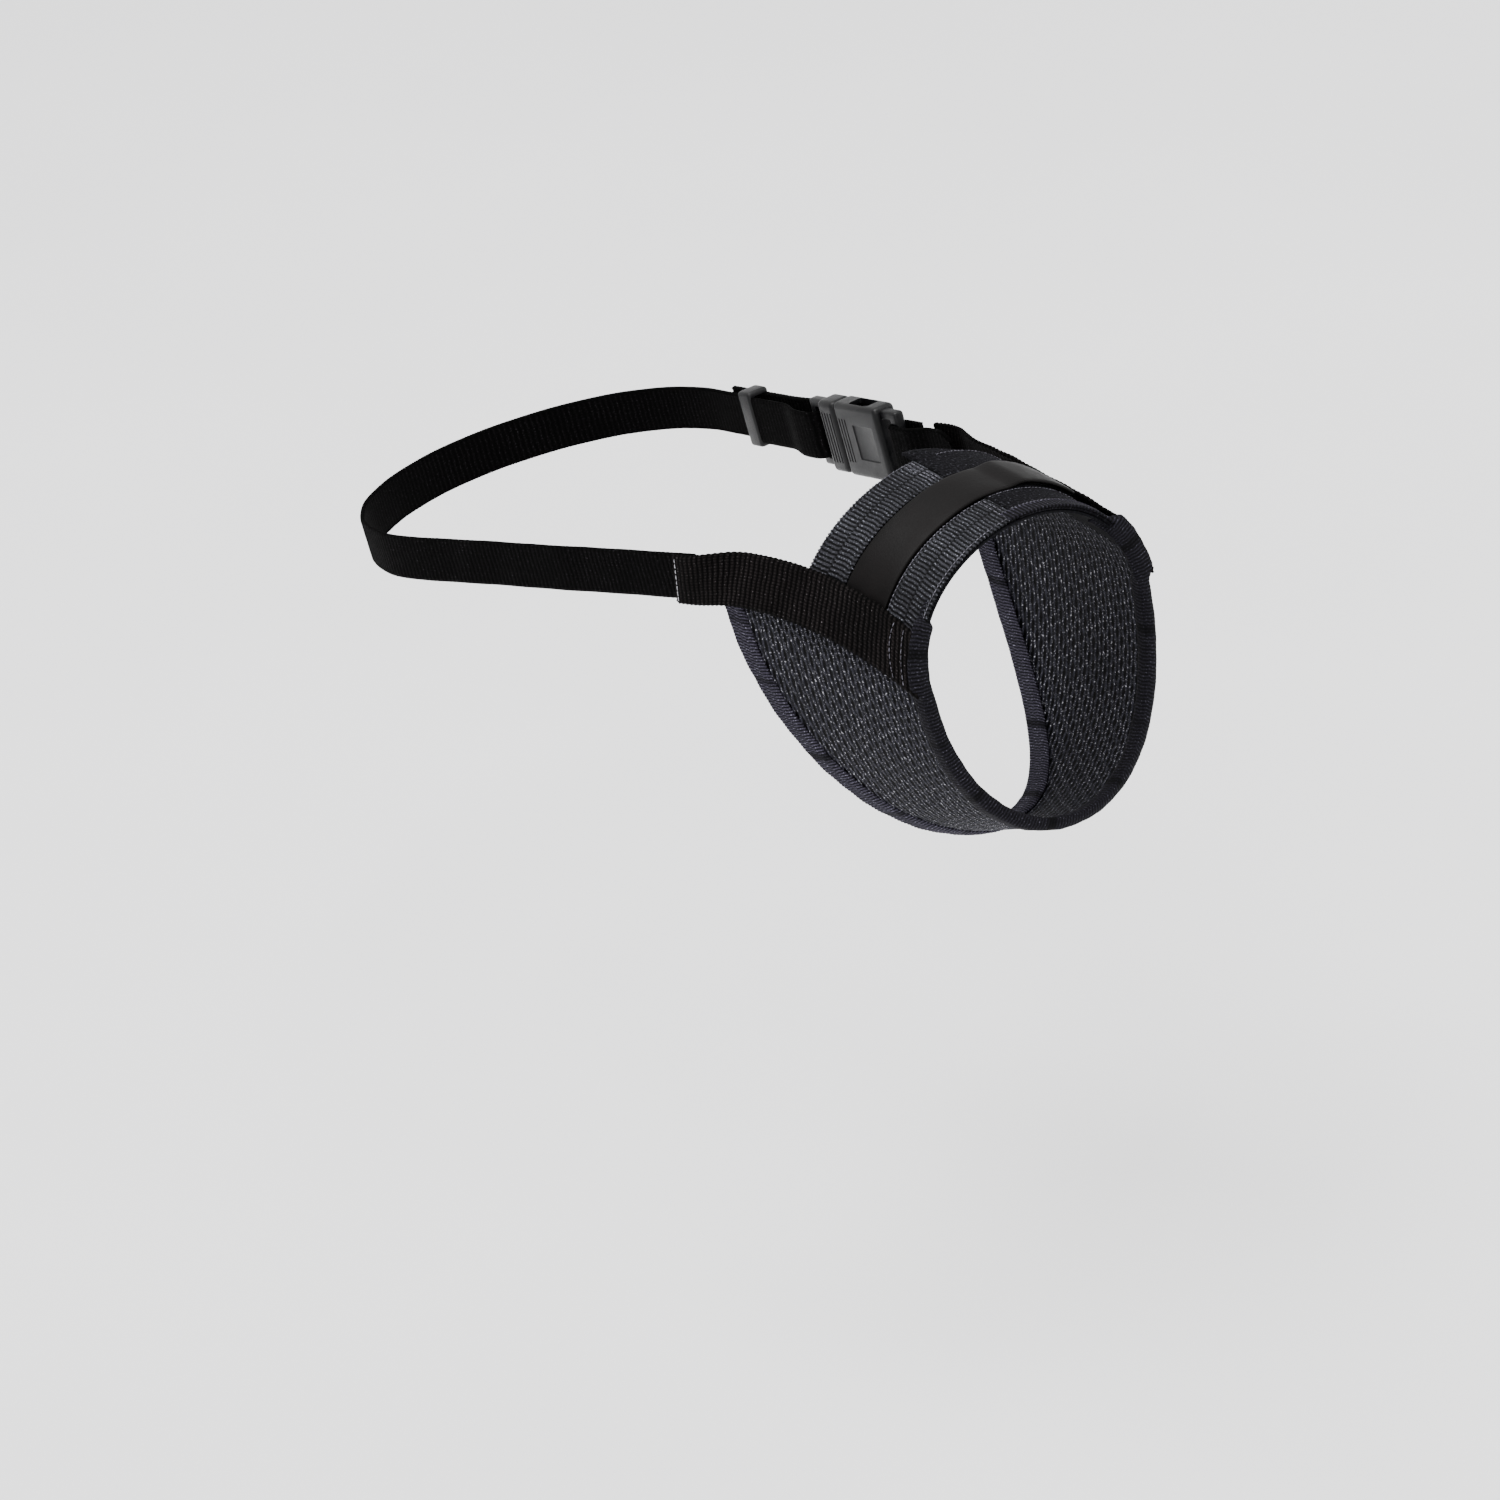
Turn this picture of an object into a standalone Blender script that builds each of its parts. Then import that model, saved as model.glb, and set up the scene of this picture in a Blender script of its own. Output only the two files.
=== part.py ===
"""A soft dog muzzle: a snout sleeve of mesh and webbing, and a neck strap with a side-release buckle.

The sleeve's axis lies along Y, the dog faces -Y, +Z is up, and the dog's right side is -X. The origin is
the point on the snout's axis at the middle of the nose band. Every cloth piece is a closed shell laid at
its own lift above one snout form, so a change of the form carries all of them with it.
Sizes are in millimetres here and become metres when a mesh is made.
"""

import bmesh
import bpy
from math import acos, asin, atan2, cos, hypot, pi, radians, sin, sqrt
from mathutils import Matrix, Vector

MM = 0.001

# Snout form: a section is two half ellipses, and each of its three radii grows towards the head.
HALF_WIDTH = 38.5
WIDTH_TAPER = 0.056
CROWN_HEIGHT = 31.0
CROWN_TAPER = 0.032
CHIN_DEPTH = 67.0
CHIN_TAPER = 0.5

# Front opening: the edge at the crown, how far the chin runs on, and how far the sides hold back.
BAND_FRONT = -20.0
CHIN_ADVANCE = 22.0
SIDE_HOLD_BACK = 4.0

# Nose band: two woven tapes with a smooth strap between them, over a thin lining.
BAND_REAR = 20.0
TAPE_WIDTH = 12.5
LINING_THICKNESS = 0.8
TAPE_THICKNESS = 1.0
NOSE_STRAP_THICKNESS = 1.2
HOOK_THICKNESS = 0.7
HOOK_INSET = 1.2
PANEL_CORNER = 5.0

# Places around the band, as shares of the way from the crown (0) to a side strap (1 right, -1 left).
TAPE_END = -0.05
STRAP_RISE_START = 0.12
FLAP_START = -0.36
FLAP_END = -0.78
PANEL_FLARE_START = -0.5
PIECE_BREAK = 0.012
FOLD_SEAM_INSET = 0.02
HOOK_END_INSET = 0.03

# Mesh panel under the jaw, and the tape folded over its two long edges.
MESH_THICKNESS = 2.0
MESH_REAR_SIDE = 47.5
MESH_REAR_CHIN = -9.5
BINDING_THICKNESS = 0.8
REAR_BINDING_WIDTH = 7.5
FRONT_BINDING_WIDTH = 5.5

# Side straps: hook-and-loop tape along the seam between band and mesh, on a long shallow arc.
SIDE_STRAP_WIDTH = 15.0
SIDE_STRAP_THICKNESS = 1.8
SIDE_STRAP_FRONT = -23.0
SIDE_STRAP_REAR = 62.0
STRAP_PEAK_Y = 11.0
STRAP_PEAK_Z = 11.8
STRAP_ARC_RADIUS = 167.0
TWIST_START = 38.0
TWIST_LENGTH = 20.0

# Neck strap: it pivots under the rear end of each side strap.
NECK_STRAP_WIDTH = 13.2
NECK_STRAP_THICKNESS = 1.5
PIVOT_INSET = 6.0
NECK_RUN = 120.0
NECK_FLARE = radians(6.0)
NECK_PITCH = radians(16.0)
STRAP_LAYER_GAP = 1.0

# Buckle, along the straight run of the dog's left side.
BUCKLE_WIDTH = 22.0
BUCKLE_THICKNESS = 7.2
BUCKLE_WALL = 1.3
BUCKLE_FRAME_THICKNESS = 3.2
FRAME_INSET = 1.0
BUCKLE_BAR = 2.8
STRAP_SLOT = 4.4
SOCKET_LENGTH = 22.0
SOCKET_START = 25.0
WINDOW_SETBACK = 7.0
WINDOW_LENGTH = 9.5
PLUG_LENGTH = 8.2
GUIDE_WIDTH = 3.2
PRONG_REACH = 16.0
PRONG_HEAD = 7.0
PRONG_ARM = 1.9
PRONG_SET_IN = 1.4
PRONG_PLAY = 0.5
RELEASE_TRAVEL = 18.0
EDGE_ROUNDING = 0.7
FRAME_OVERLAP = 2.0
WRAP_LEG = 6.5
LEAD_DROP_START = 4.0
LEAD_DROP_END = 13.0

# Strap keeper: a moulded loop round the strap and its tail.
KEEPER_START = 95.0
KEEPER_LENGTH = 6.5
KEEPER_WALL = 1.5
TAIL_END = 113.0

# Seams: raised lines of thread.
THREAD = 0.6
SEAM_MARGIN = 1.2
SEAM_PITCH = 3.5

# Clearances between pieces.
GAP = 0.4
SLIDE_GAP = 0.3

# How far a cutter runs on past the wall that it cuts.
CUT_PAST = 1.0

TAPE_LIFT = LINING_THICKNESS + GAP
HOOK_LIFT = TAPE_LIFT + TAPE_THICKNESS + GAP
FLAP_LIFT = HOOK_LIFT + HOOK_THICKNESS + GAP
SIDE_STRAP_LIFT = TAPE_LIFT + max(TAPE_THICKNESS, NOSE_STRAP_THICKNESS) + GAP
BINDING_LIFT = MESH_THICKNESS + GAP


# ---------------------------------------------------------------- scene and meshes


def clear_scene():
    for item in list(bpy.data.objects):
        bpy.data.objects.remove(item, do_unlink=True)


def material(name, colour, roughness):
    made = bpy.data.materials.get(name) or bpy.data.materials.new(name)
    made.use_nodes = True
    shader = made.node_tree.nodes["Principled BSDF"]
    shader.inputs["Base Color"].default_value = (*colour, 1.0)
    shader.inputs["Roughness"].default_value = roughness
    shader.inputs["Metallic"].default_value = 0.0
    return made


def empty(name, place, parent=None):
    marker = bpy.data.objects.new(name, None)
    marker.empty_display_size = 5 * MM
    bpy.context.scene.collection.objects.link(marker)
    marker.parent = parent
    marker.location = Vector(place) * MM
    return marker


def add_mesh(name, mesh, finish, parent=None):
    piece = bpy.data.objects.new(name, mesh)
    bpy.context.scene.collection.objects.link(piece)
    piece.parent = parent
    if finish:
        mesh.materials.append(finish)
    return piece


def shell(name, under, over, finish, origin=(0, 0, 0), parent=None):
    """A closed sheet between two equal grids of points, each a list of rows."""
    rows = len(under)
    columns = len(under[0])
    build = bmesh.new()
    start = Vector(origin)
    low = [[build.verts.new((Vector(point) - start) * MM) for point in row] for row in under]
    high = [[build.verts.new((Vector(point) - start) * MM) for point in row] for row in over]
    for i in range(rows - 1):
        for j in range(columns - 1):
            for grid in (low, high):
                build.faces.new((grid[i][j], grid[i + 1][j], grid[i + 1][j + 1], grid[i][j + 1]))
        for j in (0, columns - 1):
            build.faces.new((low[i][j], low[i + 1][j], high[i + 1][j], high[i][j]))
    for i in (0, rows - 1):
        for j in range(columns - 1):
            build.faces.new((low[i][j], low[i][j + 1], high[i][j + 1], high[i][j]))
    bmesh.ops.recalc_face_normals(build, faces=build.faces)
    mesh = bpy.data.meshes.new(name)
    build.to_mesh(mesh)
    build.free()
    mesh.shade_smooth()
    mesh.set_sharp_from_angle(angle=radians(40))
    return add_mesh(name, mesh, finish, parent)


def block(name, low, high, finish=None, parent=None):
    """A box between two corners, given in its parent's axes."""
    mesh = bpy.data.meshes.new(name)
    build = bmesh.new()
    bmesh.ops.create_cube(build, size=1.0)
    size = Vector(high) - Vector(low)
    centre = (Vector(high) + Vector(low)) / 2
    bmesh.ops.scale(build, vec=size * MM, verts=build.verts)
    bmesh.ops.translate(build, vec=centre * MM, verts=build.verts)
    build.to_mesh(mesh)
    build.free()
    return add_mesh(name, mesh, finish, parent)


def rounded(piece, width=EDGE_ROUNDING):
    bevel = piece.modifiers.new("rounded edges", "BEVEL")
    bevel.width = width * MM
    bevel.segments = 2
    bevel.limit_method = "ANGLE"
    return piece


def combine(piece, other, operation):
    step = piece.modifiers.new(other.name, "BOOLEAN")
    step.operation = operation
    step.object = other
    step.solver = "EXACT"
    other.hide_render = True
    other.display_type = "WIRE"


def steps(first, last, count):
    return [first + (last - first) * i / count for i in range(count + 1)]


def eased(share):
    share = min(max(share, 0.0), 1.0)
    return share * share * (3 - 2 * share)


# ---------------------------------------------------------------- the snout form


def radii(y):
    return (
        HALF_WIDTH + WIDTH_TAPER * y,
        CROWN_HEIGHT + CROWN_TAPER * y,
        CHIN_DEPTH + CHIN_TAPER * y,
    )


def on_form(y, turn, lift):
    """A point of the form. Turn is 0 at the crown, +90 degrees at the dog's right and 180 at the chin."""
    wide, tall, deep = radii(y)
    rise = tall if cos(turn) >= 0 else deep
    return Vector((-(wide + lift) * sin(turn), y, (rise + lift) * cos(turn)))


def turn_at(y, z):
    wide, tall, deep = radii(y)
    return acos(z / (tall if z >= 0 else deep))


def front_edge(turn):
    return BAND_FRONT - CHIN_ADVANCE * (1 - cos(turn)) / 2 + SIDE_HOLD_BACK * sin(turn) ** 2


def strap_height(y):
    return STRAP_PEAK_Z - (y - STRAP_PEAK_Y) ** 2 / (2 * STRAP_ARC_RADIUS)


def band_point(around, across, lift):
    """A point of the nose band: around is 1 at the right side strap, across is 0 at the front edge."""
    turn = around * pi / 2
    for _ in range(6):
        y = front_edge(turn) + across * (BAND_REAR - front_edge(turn))
        turn = around * turn_at(y, strap_height(y) + GAP / 2)
    return on_form(y, turn, lift)


def mesh_turn(around, y):
    return pi - abs(around) * (pi - turn_at(y, strap_height(y) - GAP / 2))


def mesh_rear_edge(around):
    return MESH_REAR_CHIN + (MESH_REAR_SIDE - MESH_REAR_CHIN) * sin(abs(around) * pi / 2) ** 2


def mesh_point(around, y, lift):
    turn = mesh_turn(around, y)
    return on_form(y, turn if around >= 0 else -turn, lift)


def mesh_front_edge(around):
    y = BAND_FRONT
    for _ in range(6):
        y = front_edge(mesh_turn(around, y))
    return y


# ---------------------------------------------------------------- the sleeve


def band_sheet(name, ends, sides, lifts, finish, counts, **place):
    """A sheet of the band. Sides and lifts are functions of the place around, giving two values each."""
    grids = ([], [])
    for around in steps(*ends, counts[0]):
        edges = sides(around)
        for grid, lift in zip(grids, lifts(around)):
            grid.append([band_point(around, across, lift) for across in steps(*edges, counts[1])])
    return shell(name, *grids, finish, **place)


def band_share(width):
    return width / (BAND_REAR - BAND_FRONT)


def strap_lift(around):
    """The nose strap lies between the tapes on the right and rides up over the bridge panel on the left."""
    climb = eased((STRAP_RISE_START - around) / (STRAP_RISE_START - TAPE_END))
    return TAPE_LIFT + climb * (FLAP_LIFT - TAPE_LIFT)


def panel_flare(around):
    """How far the bridge panel's rear edge stands out past the band, as a share of the band's width."""
    growth = eased((around - PANEL_FLARE_START) / (TAPE_END - PANEL_FLARE_START))
    return band_share(PANEL_CORNER) * growth


def add_nose_band(looks):
    tape = band_share(TAPE_WIDTH)
    gap = band_share(GAP)
    flat = (TAPE_LIFT, TAPE_LIFT + TAPE_THICKNESS)
    band_sheet(
        "nose_band_lining",
        (-1, 1),
        lambda around: (0, 1),
        lambda around: (0, LINING_THICKNESS),
        looks["lining"],
        (32, 6),
    )
    for name, sides in (("front_tape", (0, tape)), ("rear_tape", (1 - tape, 1))):
        band_sheet(
            name,
            (TAPE_END, 1),
            lambda around, s=sides: s,
            lambda around: flat,
            looks["tape"],
            (20, 3),
        )
    band_sheet(
        "bridge_panel",
        (-1, TAPE_END - PIECE_BREAK),
        lambda around: (0, 1 + panel_flare(around)),
        lambda around: flat,
        looks["velour"],
        (16, 6),
    )
    strap_sides = (tape + gap, 1 - tape - gap)
    band_sheet(
        "nose_strap",
        (FLAP_START, 1),
        lambda around: strap_sides,
        lambda around: (strap_lift(around), strap_lift(around) + NOSE_STRAP_THICKNESS),
        looks["smooth"],
        (28, 2),
    )
    for name, across in (("rear_tape_seam", 1 - tape), ("front_tape_seam", 0)):
        margin = band_share(SEAM_MARGIN)
        top = TAPE_LIFT + TAPE_THICKNESS + GAP
        band_sheet(
            name,
            (TAPE_END + FOLD_SEAM_INSET, TAPE_END + FOLD_SEAM_INSET + PIECE_BREAK),
            lambda around, a=across: (a + margin, a + tape - margin),
            lambda around: (top, top + THREAD),
            looks["thread"],
            (1, 3),
        )


def flap_hinge():
    return band_point(FLAP_START, 0.5, FLAP_LIFT + NOSE_STRAP_THICKNESS)


def add_strap_flap(looks):
    """The free end of the nose strap, held to the bridge panel by a patch of hooks."""
    hinge = flap_hinge()
    axis = empty("nose_strap_peel_axis", hinge)
    tape = band_share(TAPE_WIDTH)
    edge = tape + band_share(GAP)
    inset = edge + band_share(HOOK_INSET)
    start = FLAP_START - PIECE_BREAK
    band_sheet(
        "nose_strap_flap",
        (FLAP_END, start),
        lambda around: (edge, 1 - edge),
        lambda around: (FLAP_LIFT, FLAP_LIFT + NOSE_STRAP_THICKNESS),
        looks["smooth"],
        (8, 2),
        origin=hinge,
        parent=axis,
    )
    band_sheet(
        "nose_strap_hook",
        (FLAP_END + HOOK_END_INSET, start - HOOK_END_INSET),
        lambda around: (inset, 1 - inset),
        lambda around: (HOOK_LIFT, HOOK_LIFT + HOOK_THICKNESS),
        looks["hook"],
        (8, 2),
        origin=hinge,
        parent=axis,
    )


def add_mesh_panel(looks):
    grids = ([], [])
    for around in steps(-1, 1, 40):
        front = mesh_front_edge(around)
        rear = mesh_rear_edge(around)
        for grid, lift in zip(grids, (0, MESH_THICKNESS)):
            grid.append([mesh_point(around, y, lift) for y in steps(front, rear, 9)])
    shell("mesh_panel", *grids, looks["mesh"])


def binding_end(edge):
    """The place around at which a binding stops, just below the side strap."""
    y = edge(1.0)
    low = strap_height(y) - SIDE_STRAP_WIDTH / 2 - 2 * GAP
    return (pi - turn_at(y, low)) / (pi - turn_at(y, strap_height(y) - GAP / 2))


def add_binding(name, edge, outward, width, finish):
    """Tape folded over one long edge of the mesh; outward is +1 on the rear edge and -1 on the front."""
    end = binding_end(edge)
    grids = ([], [])
    for around in steps(-end, end, 40):
        y = edge(around)
        inner = outward * GAP
        outer = outward * (GAP + BINDING_THICKNESS)
        fold_in = -outward * width
        path = (
            (fold_in, BINDING_LIFT),
            (fold_in / 2, BINDING_LIFT),
            (inner, BINDING_LIFT),
            (inner, -GAP),
            (fold_in / 2, -GAP),
            (fold_in, -GAP),
        )
        skin = (
            (fold_in, BINDING_LIFT + BINDING_THICKNESS),
            (fold_in / 2, BINDING_LIFT + BINDING_THICKNESS),
            (outer, BINDING_LIFT + BINDING_THICKNESS),
            (outer, -GAP - BINDING_THICKNESS),
            (fold_in / 2, -GAP - BINDING_THICKNESS),
            (fold_in, -GAP - BINDING_THICKNESS),
        )
        for grid, line in zip(grids, (path, skin)):
            grid.append([mesh_point(around, y + shift, lift) for shift, lift in line])
    shell(name, *grids, finish)


# ---------------------------------------------------------------- side straps


def side_strap_frame(y, side):
    """Centre on the form, width direction and outward direction of a side strap; side is -1 on the right."""
    wide, tall, _ = radii(y)
    z = strap_height(y)
    level = sqrt(1 - (z / tall) ** 2)
    lean = atan2(wide * z, tall * tall * level)
    kept = lean * (1 - eased((y - TWIST_START) / TWIST_LENGTH))
    stand_off = SIDE_STRAP_WIDTH / 2 * sin(lean - kept)
    across = Vector((-side * sin(kept), 0, cos(kept)))
    outward = Vector((side * cos(kept), 0, sin(kept)))
    return Vector((side * wide * level, y, z)) + outward * stand_off, across, outward


def side_strap_point(y, side, across, lift):
    centre, width, outward = side_strap_frame(y, side)
    return centre + width * across + outward * (SIDE_STRAP_LIFT + lift)


def side_strap_sheet(name, side, ends, halves, lifts, finish, counts):
    grids = ([], [])
    for y in steps(*ends, counts[0]):
        for grid, lift in zip(grids, lifts):
            grid.append([side_strap_point(y, side, across, lift) for across in steps(*halves, counts[1])])
    shell(name, *grids, finish)


def add_side_strap(name, side, looks):
    half = SIDE_STRAP_WIDTH / 2
    body = (0, SIDE_STRAP_THICKNESS)
    side_strap_sheet(
        "side_strap_" + name,
        side,
        (SIDE_STRAP_FRONT, SIDE_STRAP_REAR),
        (-half, half),
        body,
        looks["hook tape"],
        (24, 2),
    )
    top = (SIDE_STRAP_THICKNESS + SLIDE_GAP, SIDE_STRAP_THICKNESS + SLIDE_GAP + THREAD)
    seams = {
        "front_seam_1_": SIDE_STRAP_FRONT + SEAM_MARGIN,
        "front_seam_2_": SIDE_STRAP_FRONT + SEAM_MARGIN + SEAM_PITCH,
        "end_seam_": SIDE_STRAP_REAR - SEAM_MARGIN - THREAD,
    }
    for title, y in seams.items():
        reach = half - SEAM_MARGIN
        side_strap_sheet(title + name, side, (y, y + THREAD), (-reach, reach), top, looks["thread"], (1, 2))


# ---------------------------------------------------------------- neck strap

PIVOT_Y = SIDE_STRAP_REAR - PIVOT_INSET
PIVOT_Z = strap_height(PIVOT_Y)


def pivot_spread():
    """Half the distance between the middles of the neck strap's two front ends."""
    inner_face = side_strap_point(PIVOT_Y, 1, 0, 0).x
    return inner_face - STRAP_LAYER_GAP - NECK_STRAP_THICKNESS / 2


def neck_measures():
    wide = pivot_spread() + NECK_RUN * sin(NECK_FLARE)
    radius = wide / cos(NECK_FLARE)
    centre = NECK_RUN * cos(NECK_FLARE) + radius * sin(NECK_FLARE)
    return radius, centre, 2 * NECK_RUN + radius * (pi + 2 * NECK_FLARE)


def neck_point(along, across, lift):
    """A point of the neck strap, along from its right end, in the strap's own pitched plane."""
    radius, centre, length = neck_measures()
    side = -1
    if along > length / 2:
        along = length - along
        side = 1
    if along <= NECK_RUN:
        normal = Vector((cos(NECK_FLARE), -sin(NECK_FLARE)))
        place = Vector((pivot_spread() + along * sin(NECK_FLARE), along * cos(NECK_FLARE)))
    else:
        angle = (along - NECK_RUN) / radius - NECK_FLARE
        normal = Vector((cos(angle), sin(angle)))
        place = Vector((0, centre)) + normal * radius
    place += normal * lift
    back = place.y * cos(NECK_PITCH) + across * sin(NECK_PITCH)
    up = across * cos(NECK_PITCH) - place.y * sin(NECK_PITCH)
    return Vector((side * place.x, PIVOT_Y + back, PIVOT_Z + up))


def rounded_start():
    """Stations and half widths of a round strap end whose centre is the pivot."""
    half = NECK_STRAP_WIDTH / 2
    turns = steps(asin(0.12), pi / 2, 6)[:-1]
    return [(-half * cos(turn), half * sin(turn)) for turn in turns]


def neck_sheet(name, stations, finish, parent):
    """A strap from stations of (along, half width, lift of its middle)."""
    half_thick = NECK_STRAP_THICKNESS / 2
    grids = ([], [])
    for along, half, lift in stations:
        for grid, shift in zip(grids, (-half_thick, half_thick)):
            grid.append([neck_point(along, across, lift + shift) for across in (-half, half)])
    return shell(name, *grids, finish, origin=(0, PIVOT_Y, PIVOT_Z), parent=parent)


def frame_end():
    """Where the socket's strap frame starts along the left run."""
    return SOCKET_START - STRAP_SLOT - BUCKLE_BAR


def plug_start():
    return SOCKET_START + SOCKET_LENGTH + SLIDE_GAP


def plug_bar():
    """The rear face of the plug's strap bar along the left run."""
    return plug_start() + PLUG_LENGTH + STRAP_SLOT + BUCKLE_BAR


def strap_front():
    """Where the long strap begins on the left run, clear of the plug when that is drawn back."""
    return plug_bar() + RELEASE_TRAVEL + 2 * GAP


def tail_front():
    return plug_bar() + WRAP_LEG + RELEASE_TRAVEL + GAP


def add_neck_strap(looks, parent):
    half = NECK_STRAP_WIDTH / 2
    _, _, length = neck_measures()
    left_end = length - strap_front()
    stations = [(along, wide, 0) for along, wide in rounded_start()]
    stations += [(along, half, 0) for along in steps(0, NECK_RUN, 8)]
    stations += [(along, half, 0) for along in steps(NECK_RUN, length - NECK_RUN, 40)[1:]]
    stations += [(along, half, 0) for along in steps(length - NECK_RUN, left_end, 4)[1:]]
    neck_sheet("neck_strap", stations, looks["webbing"], parent)
    lift = NECK_STRAP_THICKNESS + GAP
    tail = [(length - along, half, lift) for along in steps(TAIL_END, tail_front(), 6)]
    neck_sheet("strap_tail", tail, looks["webbing"], parent)


def wrap_path(leg_in, leg_out, bar_near, away):
    """The middle line of a strap turned round a bar, as (along, lift), from the inner leg's end."""
    rise = BUCKLE_FRAME_THICKNESS / 2 + GAP + NECK_STRAP_THICKNESS / 2
    turn = bar_near + away * (GAP + NECK_STRAP_THICKNESS / 2)
    corner = NECK_STRAP_THICKNESS / 3
    back = turn - away * corner
    return leg_in + [(back, -rise), (turn, corner - rise), (turn, rise - corner), (back, rise)] + leg_out


def path_sheet(name, path, finish, origin, parent):
    """A strap along a path of (along, lift) on the left run, with a square corner at each bend."""
    half = NECK_STRAP_WIDTH / 2
    half_thick = NECK_STRAP_THICKNESS / 2
    _, _, length = neck_measures()
    grids = ([], [])
    for index, (along, lift, wide) in enumerate(path):
        before = Vector(path[max(index - 1, 0)][:2])
        after = Vector(path[min(index + 1, len(path) - 1)][:2])
        here = Vector((along, lift))
        first = (here - before).normalized() if index else (after - here).normalized()
        second = (after - here).normalized() if index < len(path) - 1 else first
        normals = [Vector((-way.y, way.x)) for way in (first, second)]
        middle = (normals[0] + normals[1]).normalized()
        reach = half_thick / max(middle.dot(normals[0]), 0.5)
        for grid, sign in zip(grids, (-1, 1)):
            spot = here + middle * reach * sign
            grid.append([neck_point(length - spot.x, across, spot.y) for across in (-wide, wide)])
    return shell(name, *grids, finish, origin=origin, parent=parent)


def swing_reach():
    """How far the side strap's rear corner lies from the pivot."""
    drop = PIVOT_Z - strap_height(SIDE_STRAP_REAR)
    return hypot(PIVOT_INSET, SIDE_STRAP_WIDTH / 2 + drop)


def add_lead(looks, parent):
    """The short strap from the left pivot, turned round the socket's bar and sewn back on itself.

    Its sewn-back leg stays clear of the side strap's corner at every angle of the neck strap.
    """
    half = NECK_STRAP_WIDTH / 2
    rise = BUCKLE_FRAME_THICKNESS / 2 + GAP + NECK_STRAP_THICKNESS / 2
    middle = (LEAD_DROP_START + LEAD_DROP_END) / 2
    path = [(along, 0.0, wide) for along, wide in rounded_start()]
    path += [(0.0, 0.0, half), (LEAD_DROP_START, 0.0, half)]
    path += [(middle, -rise / 2, half), (LEAD_DROP_END, -rise, half)]
    leg_end = swing_reach() + 3 * GAP
    turn = wrap_path([], [(leg_end, rise)], frame_end() + BUCKLE_BAR, 1)
    path += [(along, lift, half) for along, lift in turn]
    path_sheet("neck_lead", path, looks["webbing"], (0, PIVOT_Y, PIVOT_Z), parent)


# ---------------------------------------------------------------- buckle and keeper


def left_run_axes(parent):
    """An empty at the left pivot: its X runs along the strap, its Y across it and its Z outwards."""
    marker = empty("left_run_axes", (pivot_spread(), 0, 0), parent)
    along = Vector((sin(NECK_FLARE), cos(NECK_FLARE) * cos(NECK_PITCH), -cos(NECK_FLARE) * sin(NECK_PITCH)))
    across = Vector((0, sin(NECK_PITCH), cos(NECK_PITCH)))
    turn = Matrix((along, across, along.cross(across))).transposed()
    marker.rotation_euler = turn.to_euler()
    return marker


def strap_frame(body, start, end, bar_start, parent):
    """Joins a thin frame with one strap slot to a buckle half."""
    wide = BUCKLE_WIDTH / 2 - FRAME_INSET
    thick = BUCKLE_FRAME_THICKNESS / 2
    name = body.name
    frame = block(name + " frame", (start, -wide, -thick), (end, wide, thick), None, parent)
    combine(body, rounded(frame, EDGE_ROUNDING / 2), "UNION")
    slot_half = NECK_STRAP_WIDTH / 2 + 3 * GAP
    slot = block(
        name + " slot",
        (bar_start, -slot_half, -BUCKLE_THICKNESS),
        (bar_start + STRAP_SLOT, slot_half, BUCKLE_THICKNESS),
        None,
        parent,
    )
    combine(body, slot, "DIFFERENCE")


def add_socket(looks, axes):
    wide = BUCKLE_WIDTH / 2
    thick = BUCKLE_THICKNESS / 2
    end = SOCKET_START + SOCKET_LENGTH
    socket = block("buckle_socket", (SOCKET_START, -wide, -thick), (end, wide, thick), looks["plastic"], axes)
    rounded(socket)
    strap_frame(socket, frame_end(), SOCKET_START + FRAME_OVERLAP, frame_end() + BUCKLE_BAR, axes)
    room = socket_room()
    inside = wide - BUCKLE_WALL
    closed = end - PRONG_REACH - 2 * BUCKLE_WALL
    cavity = block("socket cavity", (closed, -inside, -room), (end + CUT_PAST, inside, room), None, axes)
    combine(socket, cavity, "DIFFERENCE")
    near = end - WINDOW_SETBACK
    past = wide + CUT_PAST
    window = block("socket windows", (near - WINDOW_LENGTH, -past, -room), (near, past, room), None, axes)
    combine(socket, window, "DIFFERENCE")


def socket_room():
    """Half the height of the socket's cavity."""
    return BUCKLE_THICKNESS / 2 - BUCKLE_WALL


def add_plug(looks, axes):
    slide = empty("buckle_release_axis", (plug_start(), 0, 0), axes)
    wide = BUCKLE_WIDTH / 2 - SLIDE_GAP
    thick = BUCKLE_THICKNESS / 2
    plug = block("buckle_plug", (0, -wide, -thick), (PLUG_LENGTH, wide, thick), looks["plastic"], slide)
    rounded(plug)
    strap_frame(plug, PLUG_LENGTH - FRAME_OVERLAP, plug_bar() - plug_start(), PLUG_LENGTH, slide)
    guide_half = socket_room() - PRONG_PLAY
    guide = block(
        "plug guide",
        (-PRONG_REACH, -GUIDE_WIDTH / 2, -guide_half),
        (FRAME_OVERLAP, GUIDE_WIDTH / 2, guide_half),
        None,
        slide,
    )
    combine(plug, rounded(guide, EDGE_ROUNDING), "UNION")
    return slide


def prong_outline():
    """One prong in plan, from its root at (0, 0) forwards, with the head's shoulder outside."""
    outer = BUCKLE_WIDTH / 2 - BUCKLE_WALL - SLIDE_GAP
    root = outer - PRONG_ARM - PRONG_SET_IN
    tip = -PRONG_REACH
    shoulder = tip + PRONG_HEAD
    half = PRONG_ARM / 2
    swell = half / 2
    return root, [
        (-SLIDE_GAP, -half),
        (-SLIDE_GAP, half),
        (shoulder + PRONG_ARM, half + swell),
        (shoulder, outer - root),
        (shoulder - PRONG_HEAD / 2, outer - root),
        (tip + swell, half + swell),
        (tip, half - swell),
        (tip + swell, swell - half),
        (shoulder, swell - half),
    ]


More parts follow.
